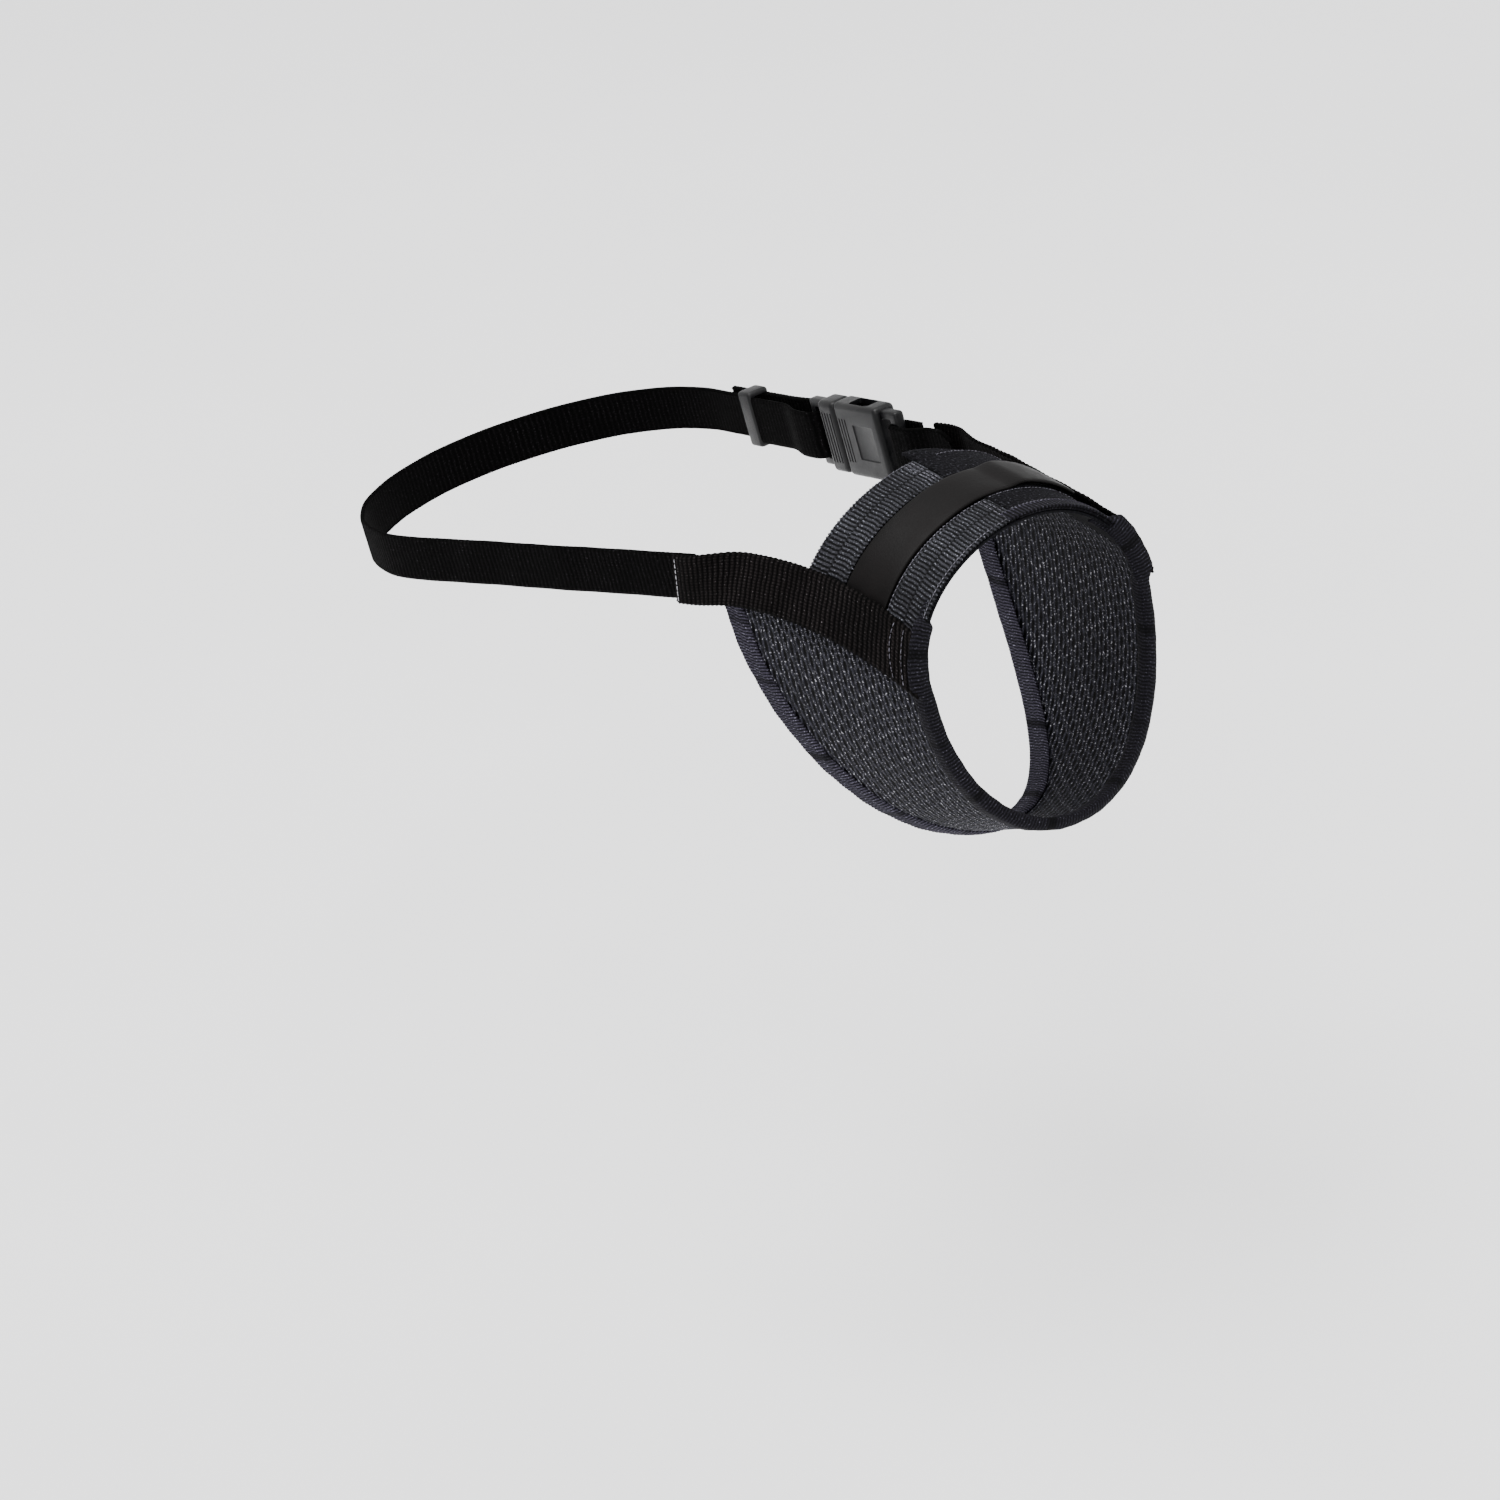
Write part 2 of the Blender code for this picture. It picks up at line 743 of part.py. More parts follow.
def add_prong(name, side, looks, slide):
    """A sprung prong of the plug, with its origin where it flexes."""
    root, outline = prong_outline()
    half = socket_room() - PRONG_PLAY
    build = bmesh.new()
    corners = [build.verts.new(Vector((x, side * y, -half)) * MM) for x, y in outline]
    face = build.faces.new(corners)
    grown = bmesh.ops.extrude_face_region(build, geom=[face])
    moved = [item for item in grown["geom"] if isinstance(item, bmesh.types.BMVert)]
    bmesh.ops.translate(build, vec=Vector((0, 0, 2 * half)) * MM, verts=moved)
    bmesh.ops.recalc_face_normals(build, faces=build.faces)
    mesh = bpy.data.meshes.new(name)
    build.to_mesh(mesh)
    build.free()
    prong = add_mesh(name, mesh, looks["plastic"], slide)
    prong.location = Vector((0, side * root, 0)) * MM
    rounded(prong, EDGE_ROUNDING / 2)


def add_plug_wrap(looks, slide):
    """The strap's turn round the plug's bar."""
    half = NECK_STRAP_WIDTH / 2
    rise = BUCKLE_FRAME_THICKNESS / 2 + GAP + NECK_STRAP_THICKNESS / 2
    end = plug_bar() + WRAP_LEG
    turn = wrap_path([(end, -rise)], [(end, rise)], plug_bar() - BUCKLE_BAR, -1)
    path = [(along, lift, half) for along, lift in turn]
    _, _, length = neck_measures()
    origin = neck_point(length - plug_start(), 0, 0)
    wrap = path_sheet("plug_wrap", path, looks["webbing"], origin, None)
    carry = slide.matrix_world.inverted()
    wrap.data.transform(Matrix.Translation(origin * MM))
    wrap.data.transform(carry)
    wrap.parent = slide


def add_keeper(looks, axes):
    """A moulded loop that slides along the strap and its tail."""
    slide = empty("keeper_slide_axis", (KEEPER_START, 0, 0), axes)
    wide = NECK_STRAP_WIDTH / 2 + SLIDE_GAP
    low = -NECK_STRAP_THICKNESS / 2 - SLIDE_GAP
    high = NECK_STRAP_THICKNESS * 1.5 + GAP + SLIDE_GAP
    loop = block(
        "strap_keeper",
        (0, -wide - KEEPER_WALL, low - KEEPER_WALL),
        (KEEPER_LENGTH, wide + KEEPER_WALL, high + KEEPER_WALL),
        looks["plastic"],
        slide,
    )
    rounded(loop)
    hole = block("keeper hole", (-CUT_PAST, -wide, low), (KEEPER_LENGTH + CUT_PAST, wide, high), None, slide)
    combine(loop, hole, "DIFFERENCE")


def main():
    clear_scene()
    looks = {
        "mesh": material("air mesh", (0.010, 0.011, 0.016), 0.85),
        "tape": material("ribbed polyester tape", (0.020, 0.022, 0.032), 0.7),
        "lining": material("nylon lining", (0.012, 0.012, 0.015), 0.8),
        "velour": material("loop velour", (0.010, 0.012, 0.022), 0.95),
        "smooth": material("coated strap", (0.024, 0.021, 0.021), 0.45),
        "hook": material("hook patch", (0.008, 0.008, 0.009), 0.9),
        "hook tape": material("hook and loop tape", (0.006, 0.006, 0.007), 0.9),
        "webbing": material("polyester webbing", (0.008, 0.008, 0.009), 0.8),
        "thread": material("polyester thread", (0.12, 0.12, 0.13), 0.6),
        "plastic": material("acetal", (0.012, 0.012, 0.013), 0.4),
    }
    add_nose_band(looks)
    add_strap_flap(looks)
    add_mesh_panel(looks)
    add_binding("rear_edge_binding", mesh_rear_edge, 1, REAR_BINDING_WIDTH, looks["tape"])
    add_binding("front_edge_binding", mesh_front_edge, -1, FRONT_BINDING_WIDTH, looks["tape"])
    for name, side in (("right", -1), ("left", 1)):
        add_side_strap(name, side, looks)
    swing = empty("neck_strap_swing_axis", (0, PIVOT_Y, PIVOT_Z))
    add_neck_strap(looks, swing)
    add_lead(looks, swing)
    axes = left_run_axes(swing)
    add_socket(looks, axes)
    slide = add_plug(looks, axes)
    for name, side in (("prong_upper", 1), ("prong_lower", -1)):
        add_prong(name, side, looks, slide)
    bpy.context.view_layer.update()
    add_plug_wrap(looks, slide)
    add_keeper(looks, axes)


main()
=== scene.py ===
"""Soft dog muzzle: knitted mesh, ribbed tape, webbing and a side-release buckle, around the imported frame.

Lengths inside the functions are in millimetres, in the frame's own axes, and become metres when a mesh is
made. The dog faces -Y, +Z is up, and the dog's right side is -X.
"""

import math

import bpy
import numpy as np
from mathutils import Matrix, Vector


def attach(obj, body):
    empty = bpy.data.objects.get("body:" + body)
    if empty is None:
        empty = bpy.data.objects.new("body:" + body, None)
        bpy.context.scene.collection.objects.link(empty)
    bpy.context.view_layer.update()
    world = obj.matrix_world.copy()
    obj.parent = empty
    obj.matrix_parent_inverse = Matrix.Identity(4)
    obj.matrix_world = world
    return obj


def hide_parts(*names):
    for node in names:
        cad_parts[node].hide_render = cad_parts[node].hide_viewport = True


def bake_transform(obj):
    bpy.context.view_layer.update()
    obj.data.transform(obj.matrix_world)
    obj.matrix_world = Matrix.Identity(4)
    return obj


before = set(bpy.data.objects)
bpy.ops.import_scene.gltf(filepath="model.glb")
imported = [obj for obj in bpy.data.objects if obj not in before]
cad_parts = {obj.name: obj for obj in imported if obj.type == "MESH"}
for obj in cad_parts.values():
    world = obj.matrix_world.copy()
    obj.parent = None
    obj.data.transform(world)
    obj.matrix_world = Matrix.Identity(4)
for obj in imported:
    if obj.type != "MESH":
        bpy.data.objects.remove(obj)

bl_info = {
    "name": "Soft Dog Muzzle",
    "version": (1, 0, 0),
    "blender": (4, 5, 0),
    "location": "3D View > Sidebar > Muzzle",
    "description": "Makes the cloth, webbing and buckle of a soft dog muzzle around its frame",
    "category": "Object",
}

MM = 0.001
PI = math.pi
TAU = 2 * math.pi

# Snout form: two half ellipses whose three radii grow towards the head.
HALF_WIDTH, WIDTH_TAPER = 38.5, 0.056
CROWN_HEIGHT, CROWN_TAPER = 31.0, 0.032
CHIN_DEPTH, CHIN_TAPER = 67.0, 0.5
BAND_FRONT, BAND_REAR = -20.0, 20.0
CHIN_ADVANCE, SIDE_HOLD_BACK = 22.0, 4.0
MESH_REAR_SIDE, MESH_REAR_CHIN = 47.5, -9.5

# Arc of the side straps, and where they straighten towards the neck.
STRAP_PEAK_Y, STRAP_PEAK_Z, STRAP_ARC_RADIUS = 11.0, 11.8, 167.0
STRAP_REAR = 62.0
TWIST_START, TWIST_LENGTH = 38.0, 20.0

# Widths and thicknesses of the cloth.
TAPE_WIDTH = 12.5
SIDE_STRAP_WIDTH = 15.0
NECK_WIDTH = 13.2
REAR_BINDING, FRONT_BINDING = 7.0, 4.0
LINING, TAPE, NOSE_STRAP, HOOK, MESH = 0.8, 1.0, 1.2, 0.7, 2.0
SIDE_STRAP, NECK_STRAP, BINDING = 1.8, 1.5, 0.8
GAP = 0.4
STRAP_OVERHANG = 0.7
PANEL_BINDING = 4.2
HOOK_INSET = 1.2
MESH_BLANK = MESH_REAR_SIDE - BAND_FRONT - SIDE_HOLD_BACK
BACKING_WALL = 0.3

# Lifts above the form.
TAPE_LIFT = LINING + GAP
HOOK_LIFT = TAPE_LIFT + TAPE + GAP / 2
FLAP_LIFT = HOOK_LIFT + HOOK
STRAP_LIFT = TAPE_LIFT + NOSE_STRAP + GAP
BINDING_LIFT = MESH + 0.1

# Places around the band, as shares of the way from the crown to a side strap: right is positive.
TAPE_END, STRAP_RISE_START, FLAP_START, FLAP_END = -0.05, 0.30, -0.36, -0.78
HOOK_RISE_START = -0.22

# Neck strap.
PIVOT_Y = STRAP_REAR - 6.0
NECK_RUN = 120.0
NECK_FLARE, NECK_PITCH = math.radians(6.0), math.radians(16.0)
STRAP_JOIN, TAIL_END = 97.0, 113.0
STRAP_WALL = NECK_STRAP * 0.75

# Buckle, along the strap where nothing else is said.
BAR, BAR_HALF = 2.8, 1.6
SLOT = 4.4
CORNER, SHELL_WALL = 1.6, 1.3
CAVITY_DEPTH, WINDOW_START, WINDOW_LENGTH = 18.6, 7.0, 9.5
PLUG_SHOULDER = 16.0
RIDGE_PITCH, RIDGE_HALF = 1.4, 0.3
PRONG_ARM, PRONG_SHAVE = 1.9, 0.05
KEEPER_WALL = 1.5

# Steps in which cloth's centre lines are measured, and grid steps of the webbing.
EVEN_STEPS = 801
WEBBING_GRID = (0.39, 0.3)


# ---------------------------------------------------------------- the form, as arrays of points


def eased(share):
    """A share from 0 to 1 that starts and stops gently, and stays at its ends outside them."""
    share = np.clip(share, 0, 1)
    return share * share * (3 - 2 * share)


def bump_at(value, centre, half):
    """A smooth hump of height 1 and the given half width."""
    return eased(1 - np.abs(value - centre) / half)


def radii(y):
    """The form's half width, crown height and chin depth at y."""
    return HALF_WIDTH + WIDTH_TAPER * y, CROWN_HEIGHT + CROWN_TAPER * y, CHIN_DEPTH + CHIN_TAPER * y


def on_form(y, turn, lift):
    """Points of the form. Turn is 0 at the crown, +90 degrees at the dog's right and 180 at the chin."""
    wide, tall, deep = radii(y)
    rise = np.where(np.cos(turn) >= 0, tall, deep)
    x = -(wide + lift) * np.sin(turn)
    return np.stack([x, y + 0 * x, (rise + lift) * np.cos(turn)], -1)


def turn_at(y, z):
    """The turn at which the form is z high."""
    _, tall, deep = radii(y)
    return np.arccos(np.clip(z / np.where(z >= 0, tall, deep), -1, 1))


def front_edge(turn):
    """Where the sleeve's front edge lies: furthest forward under the chin."""
    return BAND_FRONT - CHIN_ADVANCE * (1 - np.cos(turn)) / 2 + SIDE_HOLD_BACK * np.sin(turn) ** 2


def strap_height(y):
    return STRAP_PEAK_Z - (y - STRAP_PEAK_Y) ** 2 / (2 * STRAP_ARC_RADIUS)


def band_point(around, across, lift):
    """Points of the nose band: around is 1 at the right side strap, across is 0 at the front edge."""
    turn = around * PI / 2
    for _ in range(6):
        y = front_edge(turn) + across * (BAND_REAR - front_edge(turn))
        turn = around * turn_at(y, strap_height(y) + GAP / 2)
    return on_form(y, turn, lift)


def mesh_turn(around, y):
    """The mesh's turn at y: around is 0 under the chin and 1 at a side strap."""
    return PI - np.abs(around) * (PI - turn_at(y, strap_height(y) - GAP / 2))


def mesh_rear_edge(around):
    return MESH_REAR_CHIN + (MESH_REAR_SIDE - MESH_REAR_CHIN) * np.sin(np.abs(around) * PI / 2) ** 2


def mesh_front_edge(around):
    y = BAND_FRONT + 0 * around
    for _ in range(6):
        y = front_edge(mesh_turn(around, y))
    return y


def mesh_point(around, y, lift):
    return on_form(y, mesh_turn(around, y) * np.where(around >= 0, 1, -1), lift)


def band_share(width):
    """A width in millimetres as a share of the nose band's."""
    return width / (BAND_REAR - BAND_FRONT)


def strap_front(across):
    """Where a side strap's front end lies, just past the sleeve's slanting front edge."""
    z = strap_height(BAND_FRONT) + across
    return front_edge(turn_at(BAND_FRONT + 0 * z, z)) - STRAP_OVERHANG


def side_strap_point(y, side, across, lift):
    """Points of a side strap, which leans with the form and stands upright past the twist."""
    wide, tall, _ = radii(y)
    z = strap_height(y)
    level = np.sqrt(1 - (z / tall) ** 2)
    lean = np.arctan2(wide * z, tall * tall * level)
    kept = lean * (1 - eased((y - TWIST_START) / TWIST_LENGTH))
    out = STRAP_LIFT + lift + SIDE_STRAP_WIDTH / 2 * np.sin(lean - kept)
    x = side * (wide * level + out * np.cos(kept) - across * np.sin(kept))
    return np.stack([x, y + 0 * x, z + across * np.cos(kept) + out * np.sin(kept)], -1)


PIVOT_Z = float(strap_height(PIVOT_Y))
PIVOT_X = float(side_strap_point(np.array(PIVOT_Y), 1, 0.0, 0.0)[0]) - 1.0 - NECK_STRAP / 2
LOOP_RADIUS = (PIVOT_X + NECK_RUN * math.sin(NECK_FLARE)) / math.cos(NECK_FLARE)
LOOP_CENTRE = NECK_RUN * math.cos(NECK_FLARE) + LOOP_RADIUS * math.sin(NECK_FLARE)
LOOP_LENGTH = 2 * NECK_RUN + LOOP_RADIUS * (PI + 2 * NECK_FLARE)


def neck_point(along, across, lift):
    """Points of the neck strap, along from its right end, in the strap's own pitched plane."""
    side = np.where(along > LOOP_LENGTH / 2, 1, -1)
    near = np.where(along > LOOP_LENGTH / 2, LOOP_LENGTH - along, along)
    angle = np.maximum((near - NECK_RUN) / LOOP_RADIUS, 0) - NECK_FLARE
    run = np.minimum(near, NECK_RUN)
    bent = near > NECK_RUN
    x = np.where(bent, LOOP_RADIUS * np.cos(angle), PIVOT_X + run * math.sin(NECK_FLARE))
    x = x + np.cos(angle) * lift
    back = np.where(bent, LOOP_CENTRE + LOOP_RADIUS * np.sin(angle), run * math.cos(NECK_FLARE))
    back = back + np.sin(angle) * lift
    y = PIVOT_Y + back * math.cos(NECK_PITCH) + across * math.sin(NECK_PITCH)
    z = PIVOT_Z + across * math.cos(NECK_PITCH) - back * math.sin(NECK_PITCH)
    return np.stack([side * x, y, z], -1)


def left_run():
    """The axes of the strap's straight run on the dog's left: X along it, Y across it, Z outwards."""
    along = Vector((
        math.sin(NECK_FLARE),
        math.cos(NECK_FLARE) * math.cos(NECK_PITCH),
        -math.cos(NECK_FLARE) * math.sin(NECK_PITCH),
    ))
    across = Vector((0, math.sin(NECK_PITCH), math.cos(NECK_PITCH)))
    turned = Matrix((along, across, along.cross(across))).transposed().to_4x4()
    return Matrix.Translation(Vector((PIVOT_X, PIVOT_Y, PIVOT_Z)) * MM) @ turned


def run_box(node):
    """Lowest and highest corner of a frame node in the left run's axes, in millimetres."""
    inverse = left_run().inverted()
    corners = np.array([inverse @ v.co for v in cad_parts[node].data.vertices]) / MM
    return Vector(corners.min(0)), Vector(corners.max(0))


# ---------------------------------------------------------------- cloth


def ridge(turns):
    """0 to 1 and back, once a turn."""
    return 0.5 + 0.5 * np.cos(TAU * turns)


def hashed(first, second=0.0):
    """A repeatable 0 to 1 value for each pair of whole numbers."""
    mixed = np.sin(first * 12.9898 + second * 78.233) * 43758.5453
    return mixed - np.floor(mixed)


def waver(value, length, seed=0.0):
    """A smooth unevenness from -1 to 1 with about the given wavelength."""
    base = np.sin(TAU * value / length + seed)
    return 0.6 * base + 0.4 * np.sin(TAU * value / (length * 0.37) + 2.1 * seed + 1.0)


def deselect():
    bpy.ops.object.select_all(action="DESELECT")


def pick(piece):
    """Selects one piece and nothing else."""
    deselect()
    piece.select_set(True)
    bpy.context.view_layer.objects.active = piece


def belongs(piece, body, slot, *nodes):
    """Makes a piece ride on a body and stand for the frame's nodes, which it hides. The slot is not used."""
    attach(piece, body)
    if nodes:
        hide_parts(*nodes)


def apply_modifiers(piece):
    pick(piece)
    for modifier in list(piece.modifiers):
        bpy.ops.object.modifier_apply(modifier=modifier.name)
    return piece


def measured(place):
    """Length of a blank's centre line once laid, and its share of that length at even steps."""
    steps = np.linspace(0, 1, EVEN_STEPS)
    line = place(np.full_like(steps, 0.5), steps, 0 * steps)
    reach = np.concatenate([[0], np.cumsum(np.linalg.norm(np.diff(line, axis=0), axis=1))])
    return reach[-1], np.interp(np.linspace(0, reach[-1], EVEN_STEPS), reach, steps)


def lay_cloth(name, width, sample, place, finish, thickness, yarn=None, depth=0.0, chart=None):
    """A flat blank of cloth laid by place(across, along, height): shares from 0 to 1, height in millimetres.

    Yarn gives a 0 to 1 relief from millimetres across and along. It lifts the outer face by up to depth and
    is kept as the attribute that the finish reads. Chart gives those millimetres where the blank isn't a
    rectangle. The sheet's thickness goes inwards from the outer face.
    """
    length, even = measured(place)
    deselect()
    counts = (max(round(width / sample[0]), 2), max(round(length / sample[1]), 2))
    bpy.ops.mesh.primitive_grid_add(x_subdivisions=counts[0], y_subdivisions=counts[1], size=1)
    piece = bpy.context.object
    piece.name = piece.data.name = name
    mesh = piece.data
    flat = np.empty(len(mesh.vertices) * 3, np.float32)
    mesh.vertices.foreach_get("co", flat)
    across, steps = flat.reshape(-1, 3)[:, 0] + 0.5, flat.reshape(-1, 3)[:, 1] + 0.5
    along = np.interp(steps, np.linspace(0, 1, EVEN_STEPS), even)
    weave = (across * width, steps * length) if chart is None else chart(across, along, length)
    relief = np.ones_like(across) if yarn is None else yarn(*weave)
    points = place(across, along, depth * (relief - 1))
    outward = place(across, along, depth * (relief - 1) + 1) - points
    mesh.vertices.foreach_set("co", (points * MM).astype(np.float32).ravel())
    kept = mesh.attributes.new("yarn", "FLOAT", "POINT")
    kept.data.foreach_set("value", relief.astype(np.float32))
    corner = np.empty(len(mesh.loops), np.int32)
    mesh.loops.foreach_get("vertex_index", corner)
    while mesh.uv_layers:
        mesh.uv_layers.remove(mesh.uv_layers[0])
    spread = np.stack(weave, -1)[corner]
    mesh.uv_layers.new(name="weave").data.foreach_set("uv", spread.astype(np.float32).ravel())
    mesh.update()
    facing = np.empty(len(mesh.vertices) * 3, np.float32)
    mesh.vertex_normals.foreach_get("vector", facing)
    if np.sum(facing.reshape(-1, 3) * outward) < 0:
        mesh.flip_normals()
    wall = piece.modifiers.new("thickness", "SOLIDIFY")
    wall.thickness = thickness * MM
    wall.offset = -1
    apply_modifiers(piece)
    piece.data.shade_smooth()
    piece.data.materials.append(finish)
    piece["length"] = length * MM
    return piece


def rim_at(across, kept):
    """0 over the cloth's middle and 1 at its two long edges, rising past the kept share of its half width."""
    return eased((np.abs(across - 0.5) - kept) / (0.5 - kept))


def toothed(across, edge_share, along_mm, pitch, reach):
    """Pushes the outermost threads out at each rib, so that a selvedge ends in small teeth."""
    edge = np.clip((np.abs(across - 0.5) - 0.5 + edge_share) / edge_share, 0, 1)
    return np.sign(across - 0.5) * edge * reach * (ridge(along_mm / pitch) - 0.35)


# ---------------------------------------------------------------- materials


def linear(code):
    """A colour's linear red, green and blue from its sRGB hex code."""
    parts = [int(code[i : i + 2], 16) / 255 for i in (1, 3, 5)]
    return tuple(p / 12.92 if p <= 0.04045 else ((p + 0.055) / 1.055) ** 2.4 for p in parts)


def colours():
    return bpy.context.scene.muzzle_colours


def add_node(tree, kind, output=0, links=None, **settings):
    """Adds a node with its settings, values and links, and gives back one of its outputs."""
    made = tree.nodes.new(kind)
    for key, value in settings.items():
        setattr(made, key, value)
    for key, value in (links or {}).items():
        if isinstance(value, bpy.types.NodeSocket):
            tree.links.new(value, made.inputs[key])
        else:
            made.inputs[key].default_value = value
    return made.outputs[output]


def new_finish(name, roughness, specular, sheen=0.0, sheen_colour=(1, 1, 1)):
    """A material with its shader's constant values set, and its tree and shader."""
    made = bpy.data.materials.new(name)
    made.use_nodes = True
    tree = made.node_tree
    shader = tree.nodes["Principled BSDF"]
    shader.inputs["Roughness"].default_value = roughness
    shader.inputs["Specular IOR Level"].default_value = specular
    shader.inputs["Sheen Weight"].default_value = sheen
    shader.inputs["Sheen Roughness"].default_value = 0.5
    shader.inputs["Sheen Tint"].default_value = (*sheen_colour, 1)
    return made, tree, shader


def weave_vector(tree):
    """The cloth's own coordinates in millimetres: X across, Y along."""
    return add_node(tree, "ShaderNodeUVMap", uv_map="weave")


def grain(tree, vector, size, low, high, detail=2.0):
    """Noise of the given grain size, spread from 0 at low to 1 at high."""
    noise = add_node(
        tree, "ShaderNodeTexNoise", 0,
        {"Vector": vector, "Scale": 1 / size, "Detail": detail, "Roughness": 0.6},
    )
    return add_node(
        tree, "ShaderNodeMapRange", 0, {"Value": noise, "From Min": low, "From Max": high}, clamp=True
    )


def shade(tree, factor, low, high):
    """A colour between two colours or sockets."""
    ends = {6: low if isinstance(low, bpy.types.NodeSocket) else (*low, 1)}
    ends[7] = high if isinstance(high, bpy.types.NodeSocket) else (*high, 1)
    return add_node(tree, "ShaderNodeMix", 2, {0: factor, **ends}, data_type="RGBA")


def yarns(name, hollow, yarn, painted_glint, grain_mm, glints, bump, **values):
    """Cloth whose relief attribute sets yarn against hollow, with uneven fibres and painted glints on single
    fibres.
    """
    made, tree, shader = new_finish(name, **values)
    relief = add_node(tree, "ShaderNodeAttribute", "Fac", attribute_name="yarn")
    fibrous(tree, shader, relief, hollow, yarn, painted_glint, grain_mm, glints, bump)
    return made


def fibrous(tree, shader, relief, hollow, yarn, painted_glint, grain_mm, glints, bump):
    """Colours a 0 to 1 relief from hollow to yarn, with fibre grain, painted glints on single fibres and soft
    patches. The near-black hollows are painted shade, and the lighter crests are partly the yarn's colour and
    partly painted highlight.
    """
    vector = weave_vector(tree)
    fibres = grain(tree, vector, grain_mm, 0.3, 0.7)
    crest = add_node(tree, "ShaderNodeMath", 0, {0: relief, 1: 1.5}, operation="POWER")
    grained = add_node(tree, "ShaderNodeMath", 0, {0: fibres, 1: 0.6, 2: 0.4}, operation="MULTIPLY_ADD")
    body = add_node(tree, "ShaderNodeMath", 0, {0: crest, 1: grained}, operation="MULTIPLY")
    # Painted shade in the hollows; the crests' lighter colour is partly painted highlight.
    colour = shade(tree, body, hollow, yarn)
    # Painted glints: bright single fibres on the crests stand in for highlights.
    painted_glint_mask = grain(tree, vector, grain_mm * 1.3, glints[0], glints[1], 1.0)
    painted_glint_mask = add_node(tree, "ShaderNodeMath", 0, {0: painted_glint_mask, 1: crest}, operation="MULTIPLY")
    colour = shade(tree, painted_glint_mask, colour, painted_glint)
    patches = grain(tree, vector, 9.0, 0.25, 0.75)
    dark = shade(tree, 0.3, colour, (0, 0, 0))
    tree.links.new(shade(tree, patches, dark, colour), shader.inputs["Base Color"])
    height = add_node(tree, "ShaderNodeMath", 0, {0: fibres, 1: relief}, operation="ADD")
    normal = add_node(tree, "ShaderNodeBump", 0, {"Height": height, "Strength": bump, "Distance": 0.00012})
    tree.links.new(normal, shader.inputs["Normal"])


def ribbed_polyester_tape():
    """Woven filling-rib tape: rib crests in pale blue-grey that is partly painted highlight, painted shade
    near-black between them, and painted glints for a faint sheen.
    """
    return yarns(
        "ribbed polyester tape", linear("#010101"), colours().tape, linear("#b4b7c4"),
        0.35, (0.60, 0.80), 0.5, roughness=0.7, specular=0.05,
    )


def binding_tape():
    """Fine cross-ribbed polyester tape folded over the edges: violet-grey ribs with painted glints; the edge
    bindings' ribs are darkened in patches by painted shade where they crease.

    Real ribs are about 0.75 mm apart, and these are 0.95 mm so that they show in a picture.
    """
    return yarns(
        "ribbed binding tape", linear("#010101"), colours().binding, linear("#aba8bc"),
        0.4, (0.60, 0.8), 0.5, roughness=0.75, specular=0.05,
    )


def hook_and_loop_tape():
    """Hook-and-loop tape seen from its woven back: near black, with rows of small grey binder dots whose
    lightness is partly painted highlight, and painted glints.
    """
    return yarns(
        "hook and loop tape", linear("#000000"), colours().side_strap, linear("#8d878a"),
        0.4, (0.66, 0.82), 0.6, roughness=0.85, specular=0.03,
    )


def polyester_webbing():
    """Flat woven polyester webbing: a very dark grid of dull yarn crowns."""
    return yarns(
        "polyester webbing", linear("#000000"), colours().webbing, linear("#48454a"),
        0.4, (0.60, 0.78), 0.6, roughness=0.85, specular=0.03,
    )


def woven_nylon_lining():
    """Plain close-woven nylon: dark, even, slightly silky."""
    return yarns(
        "woven nylon lining", linear("#020203"), linear("#141418"), linear("#3c3c44"),
        0.5, (0.66, 0.85), 0.4, roughness=0.75, specular=0.05,
    )


def loop_velour():
    """Brushed loop velour: a soft navy-black pile that scatters light at its edges."""
    return yarns(
        "loop velour", linear("#010101"), colours().velour, linear("#4d4d54"),
        0.55, (0.58, 0.78), 1.0, roughness=0.95, specular=0.03, sheen=0.04, sheen_colour=linear("#9a9aa8"),
    )


def hook_patch():
    """Moulded hook strip sewn under the strap's free end: matt black with rows of stubs."""
    return yarns(
        "hook patch", linear("#020202"), linear("#101012"), linear("#38383c"),
        0.4, (0.62, 0.8), 1.0, roughness=0.7, specular=0.1,
    )


ROW_SLANT, LOOP_SLANT = math.radians(14), math.radians(34)


def knit_ways():
    """Half turns per millimetre, rearwards and around, of the knit's rows and of the lines across them."""
    sizes = bpy.context.scene.muzzle_sizes
    row, loop = PI * MM / sizes.knit_row, PI * MM / sizes.knit_loop
    return (
        (row * math.cos(ROW_SLANT), row * math.sin(ROW_SLANT)),
        (-loop * math.sin(LOOP_SLANT), loop * math.cos(LOOP_SLANT)),
    )


def knitted_air_mesh():
    """Warp-knitted spacer mesh: slanting rows of long staggered holes painted near black as shade, with grey
    filament crowns that are partly painted highlight and carry painted glints.
    """
    made, tree, shader = new_finish("knitted air mesh", 0.6, 0.04)
    vector = weave_vector(tree)
    row, loop = (
        add_node(tree, "ShaderNodeVectorMath", "Value", {0: vector, 1: (*way, 0)}, operation="DOT_PRODUCT")
        for way in knit_ways()
    )
    row = add_node(tree, "ShaderNodeMath", 0, {0: row}, operation="COSINE")
    loop = add_node(tree, "ShaderNodeMath", 0, {0: loop}, operation="COSINE")
    knit = 0.8
    for first, second, weight in ((row, loop, -0.35), (row, row, -0.7), (loop, loop, -0.3)):
        product = add_node(tree, "ShaderNodeMath", 0, {0: first, 1: second}, operation="MULTIPLY")
        knit = add_node(
            tree, "ShaderNodeMath", 0, {0: product, 1: weight, 2: knit}, operation="MULTIPLY_ADD",
            use_clamp=first == loop,
        )
    fibrous(
        tree, shader, knit, linear("#000001"), colours().knit, linear("#f0eff8"), 0.4, (0.6, 0.72), 1.0
    )
    return made


